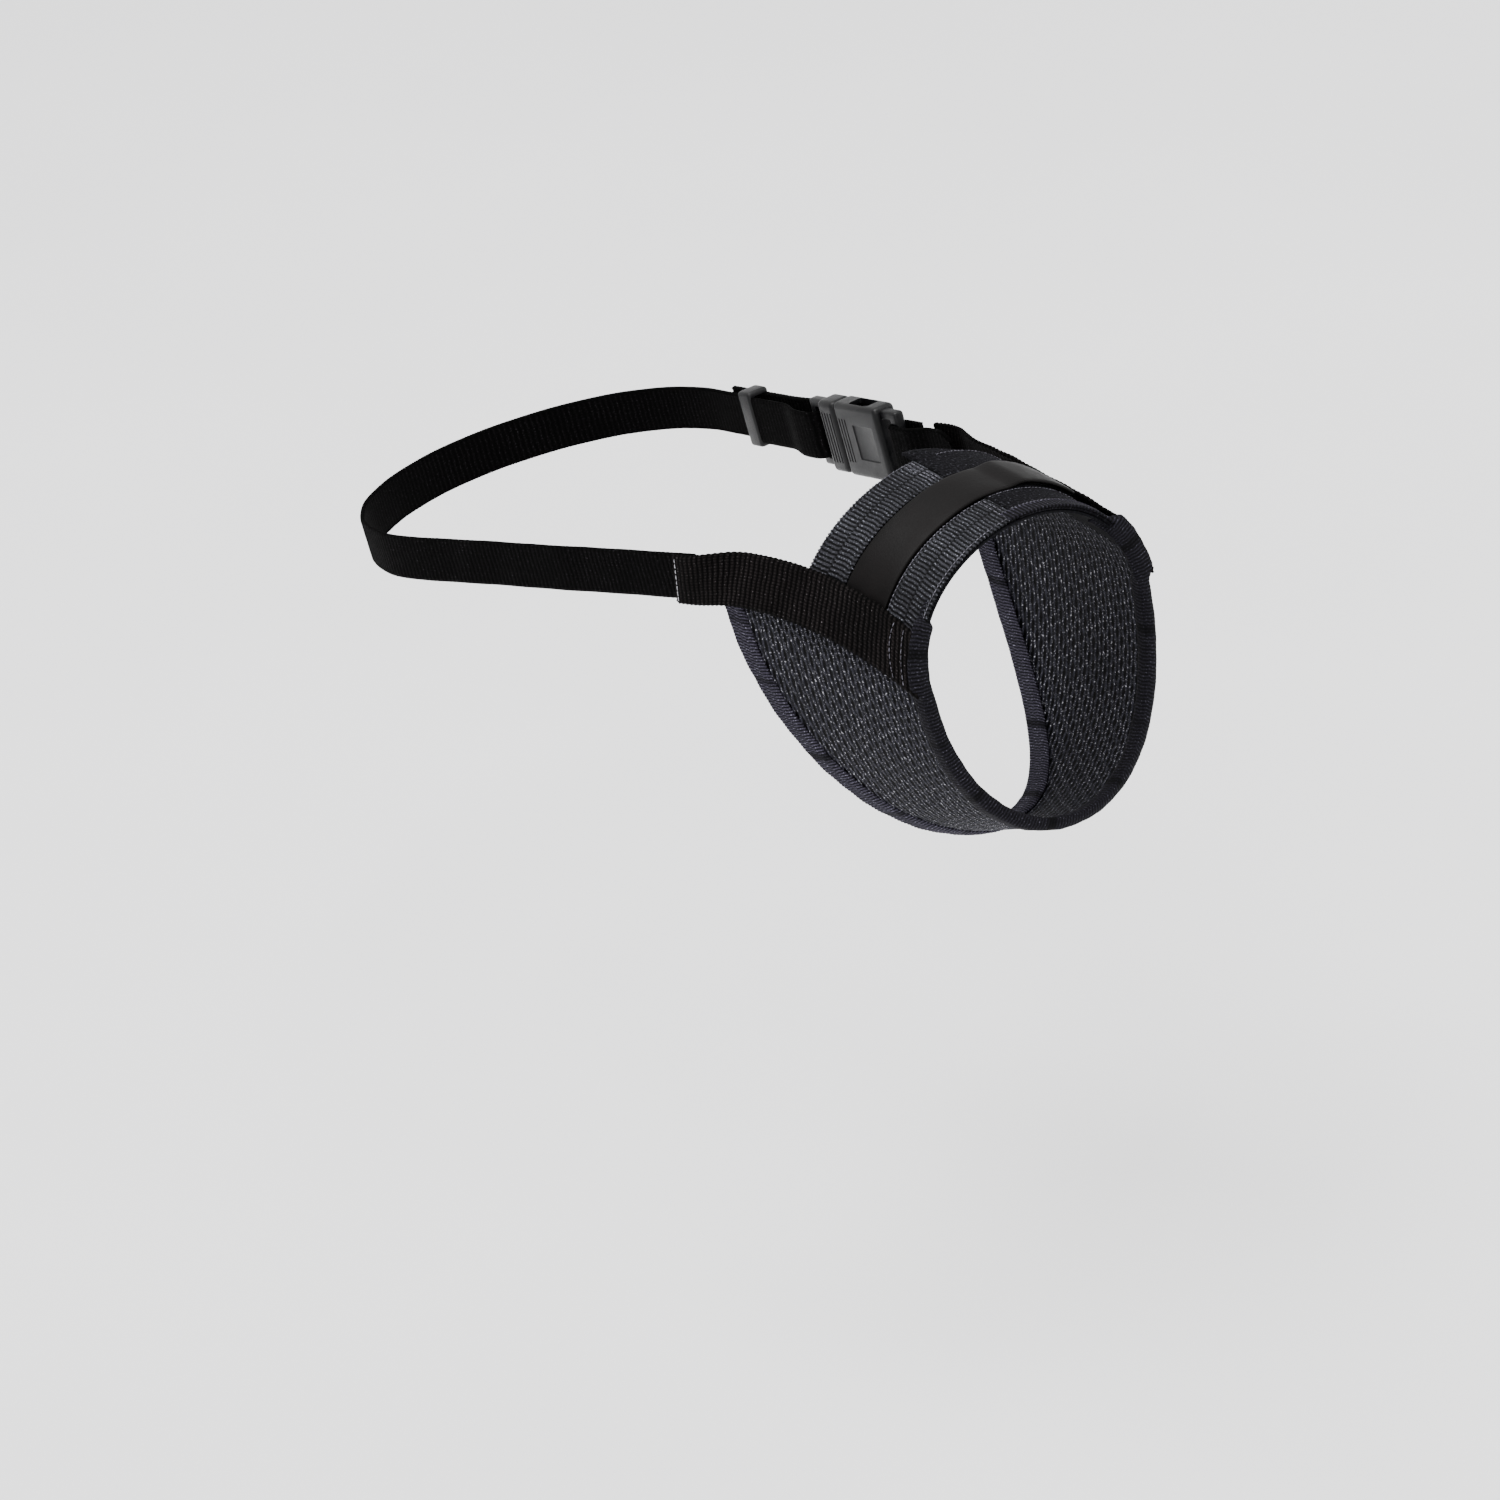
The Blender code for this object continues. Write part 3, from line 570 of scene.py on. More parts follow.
def coated_strap():
    """Polyurethane-coated strap: smooth brown-grey with a satin light along the crown and faint pebbling."""
    made, tree, shader = new_finish("coated strap", 0.5, 0.07)
    vector = add_node(tree, "ShaderNodeTexCoord", "Object")
    clouds = grain(tree, vector, 0.009, 0.3, 0.7)
    colour = shade(tree, clouds, linear("#040303"), colours().coating)
    tree.links.new(colour, shader.inputs["Base Color"])
    pebbles = grain(tree, vector, 0.0009, 0.2, 0.8, 3.0)
    gloss = add_node(
        tree, "ShaderNodeMapRange", 0, {"Value": clouds, "To Min": 0.44, "To Max": 0.56}
    )
    tree.links.new(gloss, shader.inputs["Roughness"])
    normal = add_node(tree, "ShaderNodeBump", 0, {"Height": pebbles, "Strength": 0.25, "Distance": 0.0001})
    tree.links.new(normal, shader.inputs["Normal"])
    return made


def sewing_thread(name, low, high):
    """A thread's finish, between two greys along its fibres."""
    made, tree, shader = new_finish(name, 0.7, 0.1)
    vector = add_node(tree, "ShaderNodeTexCoord", "Object")
    fibres = grain(tree, vector, 0.0007, 0.35, 0.65)
    tree.links.new(shade(tree, fibres, low, high), shader.inputs["Base Color"])
    return made


def polyester_thread():
    """Black polyester sewing thread: greyer than the cloth, catching a little light on each stitch."""
    return sewing_thread("polyester thread", linear("#222126"), colours().thread)


def pale_thread():
    """Polyester thread in paler greys than the rest: the light row across each side strap's end."""
    return sewing_thread("pale polyester thread", linear("#6f6e74"), linear("#c9c8ce"))


def moulded_acetal():
    """Injection-moulded acetal: satin black with a fine spark-eroded grain and slight flow clouds."""
    made, tree, shader = new_finish("moulded acetal", 0.38, 0.2)
    vector = add_node(tree, "ShaderNodeTexCoord", "Object")
    clouds = grain(tree, vector, 0.006, 0.3, 0.7)
    tree.links.new(shade(tree, clouds, linear("#040405"), colours().plastic), shader.inputs["Base Color"])
    gloss = add_node(
        tree, "ShaderNodeMapRange", 0, {"Value": clouds, "To Min": 0.34, "To Max": 0.46}
    )
    tree.links.new(gloss, shader.inputs["Roughness"])
    erosion = grain(tree, vector, 0.0003, 0.3, 0.7, 4.0)
    normal = add_node(tree, "ShaderNodeBump", 0, {"Height": erosion, "Strength": 0.35, "Distance": 0.00006})
    tree.links.new(normal, shader.inputs["Normal"])
    return made


def painted_floor():
    """Matt pale studio floor with a hardly visible mottle."""
    made, tree, shader = new_finish("studio floor", 0.9, 0.2)
    vector = add_node(tree, "ShaderNodeTexCoord", "Object")
    mottle = grain(tree, vector, 0.2, 0.3, 0.7)
    tree.links.new(shade(tree, mottle, linear("#e9e9ea"), linear("#ededee")), shader.inputs["Base Color"])
    return made


FINISHES = {}


def finish(maker):
    """The material that a maker gives, made once."""
    if maker.__name__ not in FINISHES:
        FINISHES[maker.__name__] = maker()
    return FINISHES[maker.__name__]


# ---------------------------------------------------------------- sizes a user would change


def length_property(title, about, value, low, high):
    return bpy.props.FloatProperty(
        name=title, description=about, default=value, min=low, max=high, unit="LENGTH", subtype="DISTANCE"
    )


class MuzzleSizes(bpy.types.PropertyGroup):
    rib_pitch: length_property("Tape ribs", "Distance between the nose tapes' ribs", 0.00125, 0.0005, 0.004)
    rib_depth: length_property("Rib depth", "How far a tape's ribs stand up", 0.00028, 0.0, 0.001)
    binding_pitch: length_property("Binding ribs", "Between the binding's ribs", 0.00095, 0.0004, 0.003)
    column_pitch: length_property("Side strap columns", "Between dot columns", 0.0017, 0.0004, 0.003)
    grid_pitch: length_property("Webbing grid", "Between the webbing's crowns", 0.00085, 0.0004, 0.003)
    knit_row: length_property("Knit rows", "Between the mesh's slanting rows", 0.00164, 0.0006, 0.004)
    knit_loop: length_property("Knit loops", "Between the lines across the rows", 0.0026, 0.0006, 0.004)
    stitch: length_property("Stitch", "Length of one sewing stitch", 0.0017, 0.001, 0.005)
    thread: length_property("Thread", "Thickness of the sewing thread", 0.00024, 0.0002, 0.001)


def colour_property(title, about, code):
    return bpy.props.FloatVectorProperty(
        name=title, description=about, default=linear(code), size=3, min=0, max=1, subtype="COLOR"
    )


class MuzzleColours(bpy.types.PropertyGroup):
    tape: colour_property("Tape", "Rib crests of the nose tapes", "#434349")
    binding: colour_property("Binding", "Ribs of the edge bindings", "#4a4755")
    knit: colour_property("Air mesh", "Filaments of the knitted mesh", "#44444f")
    side_strap: colour_property("Side straps", "Dots on the hook-and-loop tape", "#2b2727")
    webbing: colour_property("Webbing", "Yarn crowns of the neck strap", "#131112")
    velour: colour_property("Velour", "Pile of the bridge panel", "#18171a")
    coating: colour_property("Nose strap", "Coating of the nose strap", "#080606")
    plastic: colour_property("Buckle", "Plastic of the buckle and the keeper", "#070709")
    thread: colour_property("Thread", "Light side of the sewing thread", "#6b6972")


def angle_property(title, about, degrees):
    return bpy.props.FloatProperty(
        name=title, description=about, default=math.radians(degrees), subtype="ANGLE"
    )


class StudioView(bpy.types.PropertyGroup):
    azimuth: angle_property("Azimuth", "Camera's turn round the muzzle", -37.25)
    elevation: angle_property("Elevation", "Camera's height angle", 32.25)
    roll: angle_property("Roll", "Camera's tilt about its own line", -6.01)
    distance: length_property("Distance", "From the camera to the middle of the nose band", 1.249, 0.3, 5.0)
    aside: length_property("Aside", "How far the muzzle stands to the right in the view", 0.05605, -1.0, 1.0)
    above: length_property("Above", "How far the muzzle stands above the view's middle", 0.03827, -1.0, 1.0)
    lens: bpy.props.FloatProperty(
        name="Lens", description="Focal length in millimetres", default=115.5, min=20, max=300
    )


# ---------------------------------------------------------------- pieces of the sleeve


class MUZZLE_OT_lining(bpy.types.Operator):
    """Thin nylon lining of the nose band"""

    bl_idname = "muzzle.lining"
    bl_label = "Nose band lining"

    def execute(self, context):
        thread_pitch = 1.6

        def place(across, along, height):
            return band_point(2 * along - 1, across, LINING + height)

        def threads(across, along):
            return 0.5 + 0.5 * ridge(across / thread_pitch) * ridge(along / thread_pitch)

        piece = lay_cloth(
            "band_lining", BAND_REAR - BAND_FRONT, (0.8, 0.8), place, finish(woven_nylon_lining),
            LINING * 0.8, threads,
        )
        belongs(piece, "sleeve", "lining", "nose_band_lining")
        return {"FINISHED"}


def tape_yarn(pitch, half, seed):
    """Two staggered columns of ribs with a sunk centre line and a dotted chain beside each selvedge."""
    chain_inset, chain_half, centre_half = 0.9, 0.6, 0.5

    def relief(across, along):
        offset = across - half
        wander = along + 0.12 * waver(across, 9.0, seed)
        stagger = np.where(offset > 0, 0.5, 0.0)
        ribs = ridge(wander / pitch + stagger) ** 0.8
        centre = 1 - 0.55 * bump_at(offset, 0.0, centre_half)
        chain = bump_at(np.abs(offset), half - chain_inset, chain_half)
        dots = ridge(along / pitch + 0.25)
        even = 0.82 + 0.18 * waver(along, 31.0, seed + 1.7)
        return np.clip((ribs * (1 - chain) + dots * chain) * centre * even, 0, 1)

    return relief


class MUZZLE_OT_nose_tapes(bpy.types.Operator):
    """The two ribbed tapes of the nose band, each folded under and sewn at the crown"""

    bl_idname = "muzzle.nose_tapes"
    bl_label = "Nose tapes"

    def execute(self, context):
        sizes = context.scene.muzzle_sizes
        pitch = sizes.rib_pitch / MM
        share = band_share(TAPE_WIDTH)
        for end, first in (("front", 0.0), ("rear", 1 - share)):
            self.tape(end, first, share, pitch, sizes.rib_depth / MM)
        return {"FINISHED"}

    def tape(self, end, first, share, pitch, depth):
        teeth_run, fold_start, fold_rise = 60.0, 0.91, 0.22

        def place(across, along, height):
            around = 1 + (TAPE_END - 1) * along
            shift = band_share(1.0) * toothed(across, 0.05, teeth_run * along, pitch, 0.3)
            fold = fold_rise * eased((along - fold_start) / 0.02)
            lift = TAPE_LIFT + TAPE + height + fold - 0.3 * rim_at(across, 0.44)
            return band_point(around, first + across * share + shift, lift)

        piece = lay_cloth(
            end + "_nose_tape", TAPE_WIDTH, (0.36, 0.19), place, finish(ribbed_polyester_tape),
            TAPE * 0.62, tape_yarn(pitch, TAPE_WIDTH / 2, first * 3), depth,
        )
        belongs(piece, "sleeve", "ribbed_tape", end + "_tape")


class MUZZLE_OT_bridge_panel(bpy.types.Operator):
    """Velour panel on the dog's left of the bridge, which the nose strap's free end sticks to"""

    bl_idname = "muzzle.bridge_panel"
    bl_label = "Bridge panel"

    def execute(self, context):
        first = TAPE_END - 0.012
        corner_reach, corner_lift = 5.0, 0.5
        row_pitch, column_pitch = 1.5, 1.15

        def place(across, along, height):
            around = first + (-1 - first) * along
            flare = band_share(corner_reach) * eased((around + 0.5) / 0.45)
            corner = eased((across - 0.82) / 0.18) * eased(1 - along / 0.35)
            lift = TAPE_LIFT + TAPE + height + corner_lift * corner - 0.35 * rim_at(across, 0.47)
            return band_point(around, across * (1 + flare), lift)

        def pile(across, along):
            rows = ridge(across / row_pitch + 0.25 * waver(along, 3.1))
            columns = ridge(along / column_pitch + 0.25 * waver(across, 2.7, 1.0))
            return np.clip(0.35 + 0.65 * rows * columns + 0.2 * waver(along + across, 1.9, 0.4), 0, 1)

        piece = lay_cloth(
            "velour_bridge_panel", BAND_REAR - BAND_FRONT, (0.4, 0.4), place, finish(loop_velour),
            TAPE * 0.7, pile, 0.2,
        )
        edging = self.front_binding(context.scene.muzzle_sizes.rib_pitch / MM)
        belongs(piece, "sleeve", "loop_velour", "bridge_panel")
        return {"FINISHED"}

    def front_binding(self, pitch):
        """A narrow ribbed tape over the panel's front edge, with a dotted chain line along its rear edge."""
        overhang, rise, rib_brightness = 0.5, 0.55, 0.42
        chain_inset, chain_half = 0.8, 0.5

        def place(across, along, height):
            lift = TAPE_LIFT + TAPE + rise - 0.45 * rim_at(across, 0.44) + height
            return band_point(0.01 - 0.99 * along, band_share(across * PANEL_BINDING - overhang), lift)

        def ribs(across, along):
            chain = bump_at(across, PANEL_BINDING - chain_inset, chain_half)
            return ridge(along / pitch) * (rib_brightness * (1 - chain) + chain)

        piece = lay_cloth(
            "panel_front_binding", PANEL_BINDING, (0.25, 0.2), place, finish(binding_tape), 0.5, ribs, 0.22
        )
        belongs(piece, "sleeve", "ribbed_tape")
        return piece


class MUZZLE_OT_nose_strap(bpy.types.Operator):
    """Smooth strap between the tapes, over the crown and down onto the velour, with its hook patch"""

    bl_idname = "muzzle.nose_strap"
    bl_label = "Nose strap"

    def execute(self, context):
        tape = band_share(TAPE_WIDTH)
        edge = tape + band_share(GAP)
        width = (1 - 2 * edge) * (BAND_REAR - BAND_FRONT)
        crowning, edge_drop, tip_taper = 0.25, 0.35, 0.22

        def place(across, along, height):
            around = 1 + (FLAP_END - 1) * along
            climb = eased((STRAP_RISE_START - around) / (STRAP_RISE_START - TAPE_END))
            second = eased((HOOK_RISE_START - around) / (HOOK_RISE_START - FLAP_START))
            panel = TAPE_LIFT + TAPE - GAP
            lift = TAPE_LIFT + climb * (panel - TAPE_LIFT) + second * (FLAP_LIFT - panel)
            side = np.abs(2 * across - 1)
            crown = crowning * side**4 + edge_drop * eased((side - 0.93) / 0.07)
            tip = eased((along - 0.97) / 0.03)
            spread = (across - 0.5) * (1 - 2 * edge) * (1 - tip_taper * tip * tip)
            return band_point(around, 0.5 + spread, lift + NOSE_STRAP - crown + height)

        strap = lay_cloth(
            "nose_strap_cloth", width, (0.5, 0.5), place, finish(coated_strap), NOSE_STRAP * 0.8
        )
        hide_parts("nose_strap", "nose_strap_flap")
        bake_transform(strap)
        self.hooks(edge + band_share(HOOK_INSET))
        return {"FINISHED"}

    def hooks(self, inset):
        low, high = FLAP_END + 0.03, FLAP_START - 0.042
        row_pitch, stub_pitch = 1.3, 1.1
        width = (1 - 2 * inset) * (BAND_REAR - BAND_FRONT)

        def place(across, along, height):
            lift = HOOK_LIFT + HOOK + height
            return band_point(high + (low - high) * along, inset + across * (1 - 2 * inset), lift)

        def stubs(across, along):
            return 0.3 + 0.7 * ridge(across / row_pitch) * ridge(along / stub_pitch)

        patch = lay_cloth(
            "nose_strap_hooks", width, (0.32, 0.32), place, finish(hook_patch), HOOK * 0.8, stubs, 0.15
        )
        belongs(patch, "nose_strap_end", "hook_patch", "nose_strap_hook")


class MUZZLE_OT_air_mesh(bpy.types.Operator):
    """Knitted spacer mesh that goes under the jaw from one side strap to the other"""

    bl_idname = "muzzle.air_mesh"
    bl_label = "Air mesh panel"

    def execute(self, context):
        row_way, loop_way = knit_ways()
        swell_run, swell_length, swell_rise = 160.0, 46.0, 0.25
        rim_drop, rim_width = 1.7, 0.008

        def depth_at(across, along):
            around = 1 - 2 * along
            front, rear = mesh_front_edge(around), mesh_rear_edge(around)
            return front + across * (rear - front)

        def face(across, along, height):
            edge = np.maximum(np.abs(across - 0.5) - 0.49, np.abs(along - 0.5) - 0.495)
            swell = swell_rise * np.sin(PI * across) * waver(along * swell_run, swell_length, 0.6)
            lift = MESH + swell + height - rim_drop * eased(edge / rim_width)
            return mesh_point(1 - 2 * along, depth_at(across, along), lift)

        def backing(across, along, height):
            return mesh_point(2 * along - 1, depth_at(across, 1 - along), BACKING_WALL - height)

        def knit(back, around):
            row = np.cos(back * row_way[0] + around * row_way[1])
            loop = np.cos(back * loop_way[0] + around * loop_way[1])
            return np.clip(0.8 - 0.35 * row * loop - 0.7 * row**2 - 0.3 * loop**2, 0, 1)

        for name, place, sample, depth, thickness in (
            ("air_mesh_face", face, (0.58, 0.5), 0.32, 0.5),
            ("air_mesh_backing", backing, (1.1, 1.1), 0.0, BACKING_WALL),
        ):
            piece = lay_cloth(
                name, MESH_BLANK, sample, place, finish(knitted_air_mesh), thickness, knit, depth,
                lambda across, along, length: (depth_at(across, along), along * length),
            )
            belongs(piece, "sleeve", "air_mesh", "mesh_panel")
        return {"FINISHED"}


def binding_end(edge):
    """The place around at which a binding stops, tucked under the side strap."""
    y = edge(np.array(1.0))
    low = strap_height(y) - SIDE_STRAP_WIDTH / 2 + 3
    return float((PI - turn_at(y, low)) / (PI - turn_at(y, strap_height(y) - GAP / 2)))


class MUZZLE_OT_bindings(bpy.types.Operator):
    """Ribbed tape folded over the mesh's rear edge, and over its front edge and the straps' front ends"""

    bl_idname = "muzzle.bindings"
    bl_label = "Edge bindings"

    def execute(self, context):
        pitch = context.scene.muzzle_sizes.binding_pitch / MM
        end = binding_end(mesh_rear_edge)

        def rear(along):
            around = end * (1 - 2 * along)
            y = mesh_rear_edge(around)
            return y, mesh_turn(around, y) * np.where(around >= 0, 1, -1), 0, 1, 0

        middle, half = strap_height(BAND_FRONT), SIDE_STRAP_WIDTH / 2
        top, high, low = (
            float(turn_at(BAND_FRONT, middle + away)) for away in (half + 4.0, half - 0.5, -half - 2.5)
        )
        strap_step, tape_step, tape_tuck = 2.55, 2.9, 2.2

        def front(along):
            turn = top + 2 * (PI - top) * along
            from_chin = np.abs(turn - PI)
            over_strap = eased((from_chin - (PI - low)) / math.radians(7))
            past_strap = eased((from_chin - (PI - high)) / math.radians(4))
            lift = strap_step * over_strap - tape_step * past_strap
            narrow = 1 - 0.72 * over_strap - 0.2 * past_strap
            turn_round = np.where(turn > PI, turn - TAU, turn)
            return front_edge(turn), turn_round, lift, narrow, tape_tuck * past_strap

        self.binding("rear_binding_tape", rear, 1, REAR_BINDING, "rear_edge_binding", pitch, 1.0)
        self.binding("front_binding_tape", front, -1, FRONT_BINDING, "front_edge_binding", pitch, 0.4)
        return {"FINISHED"}

    def binding(self, name, route, outward, width, node, pitch, brightness):
        """Folds a tape over an edge whose route gives y, turn, extra lift, share of width and tuck."""
        radius = (BINDING_LIFT + BINDING + GAP + BINDING) / 2
        middle = BINDING_LIFT + BINDING - radius
        bow = radius * 0.55
        turn_centre = GAP + BINDING - bow
        leg = width + turn_centre
        cut = 2 * leg + PI * radius * 0.8
        hem_drop, ripple_rise, ripple_run, ripple_length = 0.65, 0.12, 190, 13.0

        def place(across, along, height):
            y, turn, over, narrow, tuck = route(along)
            reach = across * cut
            angle = np.clip((reach - leg) / (cut - 2 * leg), 0, 1) * PI
            shift = np.where(reach < leg, reach - leg, np.where(reach > cut - leg, cut - leg - reach, 0.0))
            out = turn_centre + shift * narrow + (bow + height) * np.sin(angle) - tuck
            lift = middle + (radius + height) * np.cos(angle) + over * (1 + np.cos(angle)) / 2
            hem = hem_drop * rim_at(across, 0.4)
            ripple = ripple_rise * waver(along * ripple_run, ripple_length, width)
            lift = lift - hem * np.sign(0.5 - across) + ripple * np.cos(angle)
            return on_form(y + outward * out, turn, lift)

        def ribs(across, along):
            # Painted shade: darker patches along the binding stand in for the shade in its creases.
            painted_crease_shade = 1 - 0.6 * eased(waver(along, 23.0, width) * 2.4 - 1.4)
            turned = along + 0.25 * waver(across, 5.0, 1.0)
            return np.clip((0.1 + 0.9 * ridge(turned / pitch)) * painted_crease_shade * brightness, 0, 1)

        piece = lay_cloth(name, cut, (0.8, 0.2), place, finish(binding_tape), BINDING * 0.7, ribs, 0.18)
        belongs(piece, "sleeve", "ribbed_tape", node)


def dotted_yarn(pitch_across, pitch_along, half, seed):
    """Columns across the strap, each a row of small yarn crowns, fainter along the selvedges."""

    def relief(across, along):
        lines = ridge((along + 0.12 * waver(across, 7.0, seed)) / pitch_along)
        crowns = ridge(across / pitch_across + 0.1 * waver(along, 13.0, seed)) * lines**0.7
        uneven = 0.85 + 0.15 * waver(along + 0.7 * across, 29.0, seed)
        edge = bump_at(np.abs(across - half), half, 1.1)
        return np.clip((0.06 + 0.3 * lines + 0.64 * crowns) * uneven * (1 - 0.3 * edge), 0, 1)

    return relief


class MUZZLE_OT_side_straps(bpy.types.Operator):
    """Hook-and-loop tape along each side, over the seam between nose band and mesh"""

    bl_idname = "muzzle.side_straps"
    bl_label = "Side straps"

    def execute(self, context):
        pitch = context.scene.muzzle_sizes.column_pitch / MM
        for name, side in (("right", -1), ("left", 1)):
            self.strap(name, side, pitch)
        return {"FINISHED"}

    def strap(self, name, side, pitch):
        rim_drop, end_drop, wave_rise, tooth_reach, tooth_pitch = 0.5, 0.4, 0.22, 0.3, 1.1

        def place(across, along, height):
            front = strap_front((across - 0.5) * SIDE_STRAP_WIDTH)
            y = front + (STRAP_REAR - front) * along
            spread = (across - 0.5) * SIDE_STRAP_WIDTH + toothed(across, 0.03, y, pitch, 0.2)
            rim = rim_at(across, 0.45)
            ends = eased((np.abs(along - 0.5) - 0.49) / 0.01)
            wave = wave_rise * waver(y, 27.0, side + 2.0) * (1 - rim)
            lift = SIDE_STRAP - rim_drop * rim - end_drop * ends + wave + height
            tooth = tooth_reach * ends * (ridge(spread / tooth_pitch) - 0.4) * np.sign(along - 0.5)
            return side_strap_point(y + tooth, side, spread, lift)

        piece = lay_cloth(
            "side_strap_cloth_" + name, SIDE_STRAP_WIDTH, (0.3, 0.225), place, finish(hook_and_loop_tape),
            SIDE_STRAP * 0.42, dotted_yarn(pitch / 2, pitch, SIDE_STRAP_WIDTH / 2, side), 0.22,
        )
        belongs(piece, "sleeve", "hook_and_loop_tape", "side_strap_" + name)


# ---------------------------------------------------------------- sewing


def stitch_shape():
    """Points and faces of one stitch of unit length: a rounded grain lying along X."""
    deselect()
    bpy.ops.mesh.primitive_uv_sphere_add(segments=8, ring_count=5, radius=0.5)
    model = bpy.context.object
    points = np.array([v.co[:] for v in model.data.vertices])[:, [2, 0, 1]]
    faces = [tuple(polygon.vertices) for polygon in model.data.polygons]
    bpy.data.objects.remove(model, do_unlink=True)
    return points, faces


def sew(name, line, out, stitch, thread, node=(), maker=polyester_thread):
    """Stitches end to end along a line of points on the sleeve, each dipping into the cloth at its ends."""
    shape, faces = stitch_shape()
    steps = np.linalg.norm(np.diff(line, axis=0), axis=1)
    reach = np.concatenate([[0], np.cumsum(steps)])
    count = max(round(reach[-1] / stitch), 2)
    points, quads = [], []
    for index in range(count):
        ends = (np.array([index + 0.08, index + 0.92]) / count) * reach[-1]
        first, last = (np.array([np.interp(end, reach, line[:, axis]) for axis in range(3)]) for end in ends)
        rise = np.array([np.interp(ends.mean(), reach, out[:, axis]) for axis in range(3)])
        rise = rise / np.linalg.norm(rise)
        forward = (last - first) / np.linalg.norm(last - first)
        side = np.cross(rise, forward)
        lean = 0.12 * (hashed(index, len(name)) - 0.5)
        forward = forward + side * lean
        span = np.linalg.norm(last - first)
        bow = 1 - (2 * shape[:, :1]) ** 2
        laid = shape[:, :1] * forward * span + shape[:, 1:2] * side * thread
        laid = laid + shape[:, 2:] * rise * thread * 0.8
        points.append((first + last) / 2 + laid + rise * thread * (0.35 * bow - 0.1))
        quads += [tuple(corner + index * len(shape) for corner in face) for face in faces]
    mesh = bpy.data.meshes.new(name)
    mesh.from_pydata((np.concatenate(points) * MM).tolist(), [], quads)
    mesh.shade_smooth()
    mesh.materials.append(finish(maker))
    piece = bpy.data.objects.new(name, mesh)
    bpy.context.scene.collection.objects.link(piece)
    belongs(piece, "sleeve", "thread", *node)


class MUZZLE_OT_seams(bpy.types.Operator):
    """Rows of stitches: the tapes' folded ends, chains along the band's selvedges, and both ends of the side
    straps
    """

    bl_idname = "muzzle.seams"
    bl_label = "Seams"

    def execute(self, context):
        sizes = context.scene.muzzle_sizes
        self.stitch, self.thread = sizes.stitch / MM, sizes.thread / MM
        tape = band_share(TAPE_WIDTH)
        for name, first in (("front_tape_seam", 0.0), ("rear_tape_seam", 1 - tape)):
            rows = (0.032, 0.06) if first == 0 else (0.026, 0.05, 0.074)
            for number, inset in enumerate(rows):
                node = () if number else (name,)
                self.band_seam(name, number, TAPE_END + inset, first + tape * 0.08, first + tape * 0.92, node)
        for name, across, first, last in (
            ("front_tape_front", 0.7, 0.94, TAPE_END + 0.01),
            ("front_tape_rear", TAPE_WIDTH - 0.6, 0.94, TAPE_END + 0.01),
            ("rear_tape_rear", BAND_REAR - BAND_FRONT - 0.7, 0.94, TAPE_END + 0.01),
            ("panel_middle", TAPE_WIDTH - 0.3, TAPE_END - 0.02, -0.86),
            ("panel_front", 4.0, TAPE_END - 0.02, -0.86),
            ("panel_rear", BAND_REAR - BAND_FRONT - 0.9, -0.2, -0.86),
        ):
            self.selvedge(name, band_share(across), first, last)
        for name, side in (("right", -1), ("left", 1)):
            share = np.linspace(-1, 1, 24)
            front = strap_front(share * (SIDE_STRAP_WIDTH / 2 - 0.9))
            rows = (
                ("front_seam_1_", front + 4.5 - 0.8 * share**2, polyester_thread),
                ("front_seam_2_", front + 8.9 - 1.5 * share**2, polyester_thread),
                ("end_seam_", STRAP_REAR - 1.6 + 0 * front, pale_thread),
            )
            for title, y, maker in rows:
                self.strap_seam(title + name, side, y, maker)
        return {"FINISHED"}

    def band_seam(self, name, number, around, low, high, node):
        across = np.linspace(low, high, 24)
        top = TAPE_LIFT + TAPE + 0.16
        line = band_point(around + 0 * across, across, top)
        out = band_point(around + 0 * across, across, top + 1) - line
        sew(f"{name}_thread_{number + 1}", line, out, self.stitch, self.thread, node)

    def selvedge(self, name, across, first, last):
        """A chain of short stitches along a selvedge of the nose band."""
        around = np.linspace(first, last, 120)
        top = TAPE_LIFT + TAPE + 0.04
        line = band_point(around, across + 0 * around, top)
        out = band_point(around, across + 0 * around, top + 1) - line
        sew(name + "_chain", line, out, 0.75 * self.stitch, self.thread)

    def strap_seam(self, name, side, y, maker):
        half = SIDE_STRAP_WIDTH / 2 - 0.9
        across = np.linspace(-half, half, 24)
        line = side_strap_point(y, side, across, SIDE_STRAP + 0.02)
        out = side_strap_point(y, side, across, SIDE_STRAP + 1) - line
        sew(name + "_thread", line, out, self.stitch, self.thread, (name,), maker)


# ---------------------------------------------------------------- neck strap


def rounded_width(along, half):
    """Half the strap's width near a round end whose centre is the pivot."""
    near = np.clip(-along / half, 0, 0.995)
    return half * np.sqrt(1 - near**2)


class MUZZLE_OT_neck_strap(bpy.types.Operator):
    """The long webbing strap from the right side strap round the neck to the keeper"""

    bl_idname = "muzzle.neck_strap"
    bl_label = "Neck strap"

    def execute(self, context):
        pitch = context.scene.muzzle_sizes.grid_pitch / MM
        half = NECK_WIDTH / 2
        start, end = -half * 0.99, LOOP_LENGTH - STRAP_JOIN

        def place(across, along, height):
            at = start + (end - start) * along
            wide = rounded_width(at, half)
            spread = (2 * across - 1) * wide + toothed(across, 0.03, at, pitch, 0.15)
            wave = 0.2 * waver(at, 53.0, 1.0) * eased(at / 30) * eased((end - at) / 20)
            return neck_point(at, spread, NECK_STRAP / 2 - 0.3 * rim_at(across, 0.45) + wave + height)

        piece = lay_cloth(
            "neck_strap_webbing", NECK_WIDTH, WEBBING_GRID, place, finish(polyester_webbing), STRAP_WALL,
            dotted_yarn(pitch, 2 * pitch, half, 3.0), 0.2,
        )
        belongs(piece, "neck_loop", "webbing", "neck_strap")
        return {"FINISHED"}


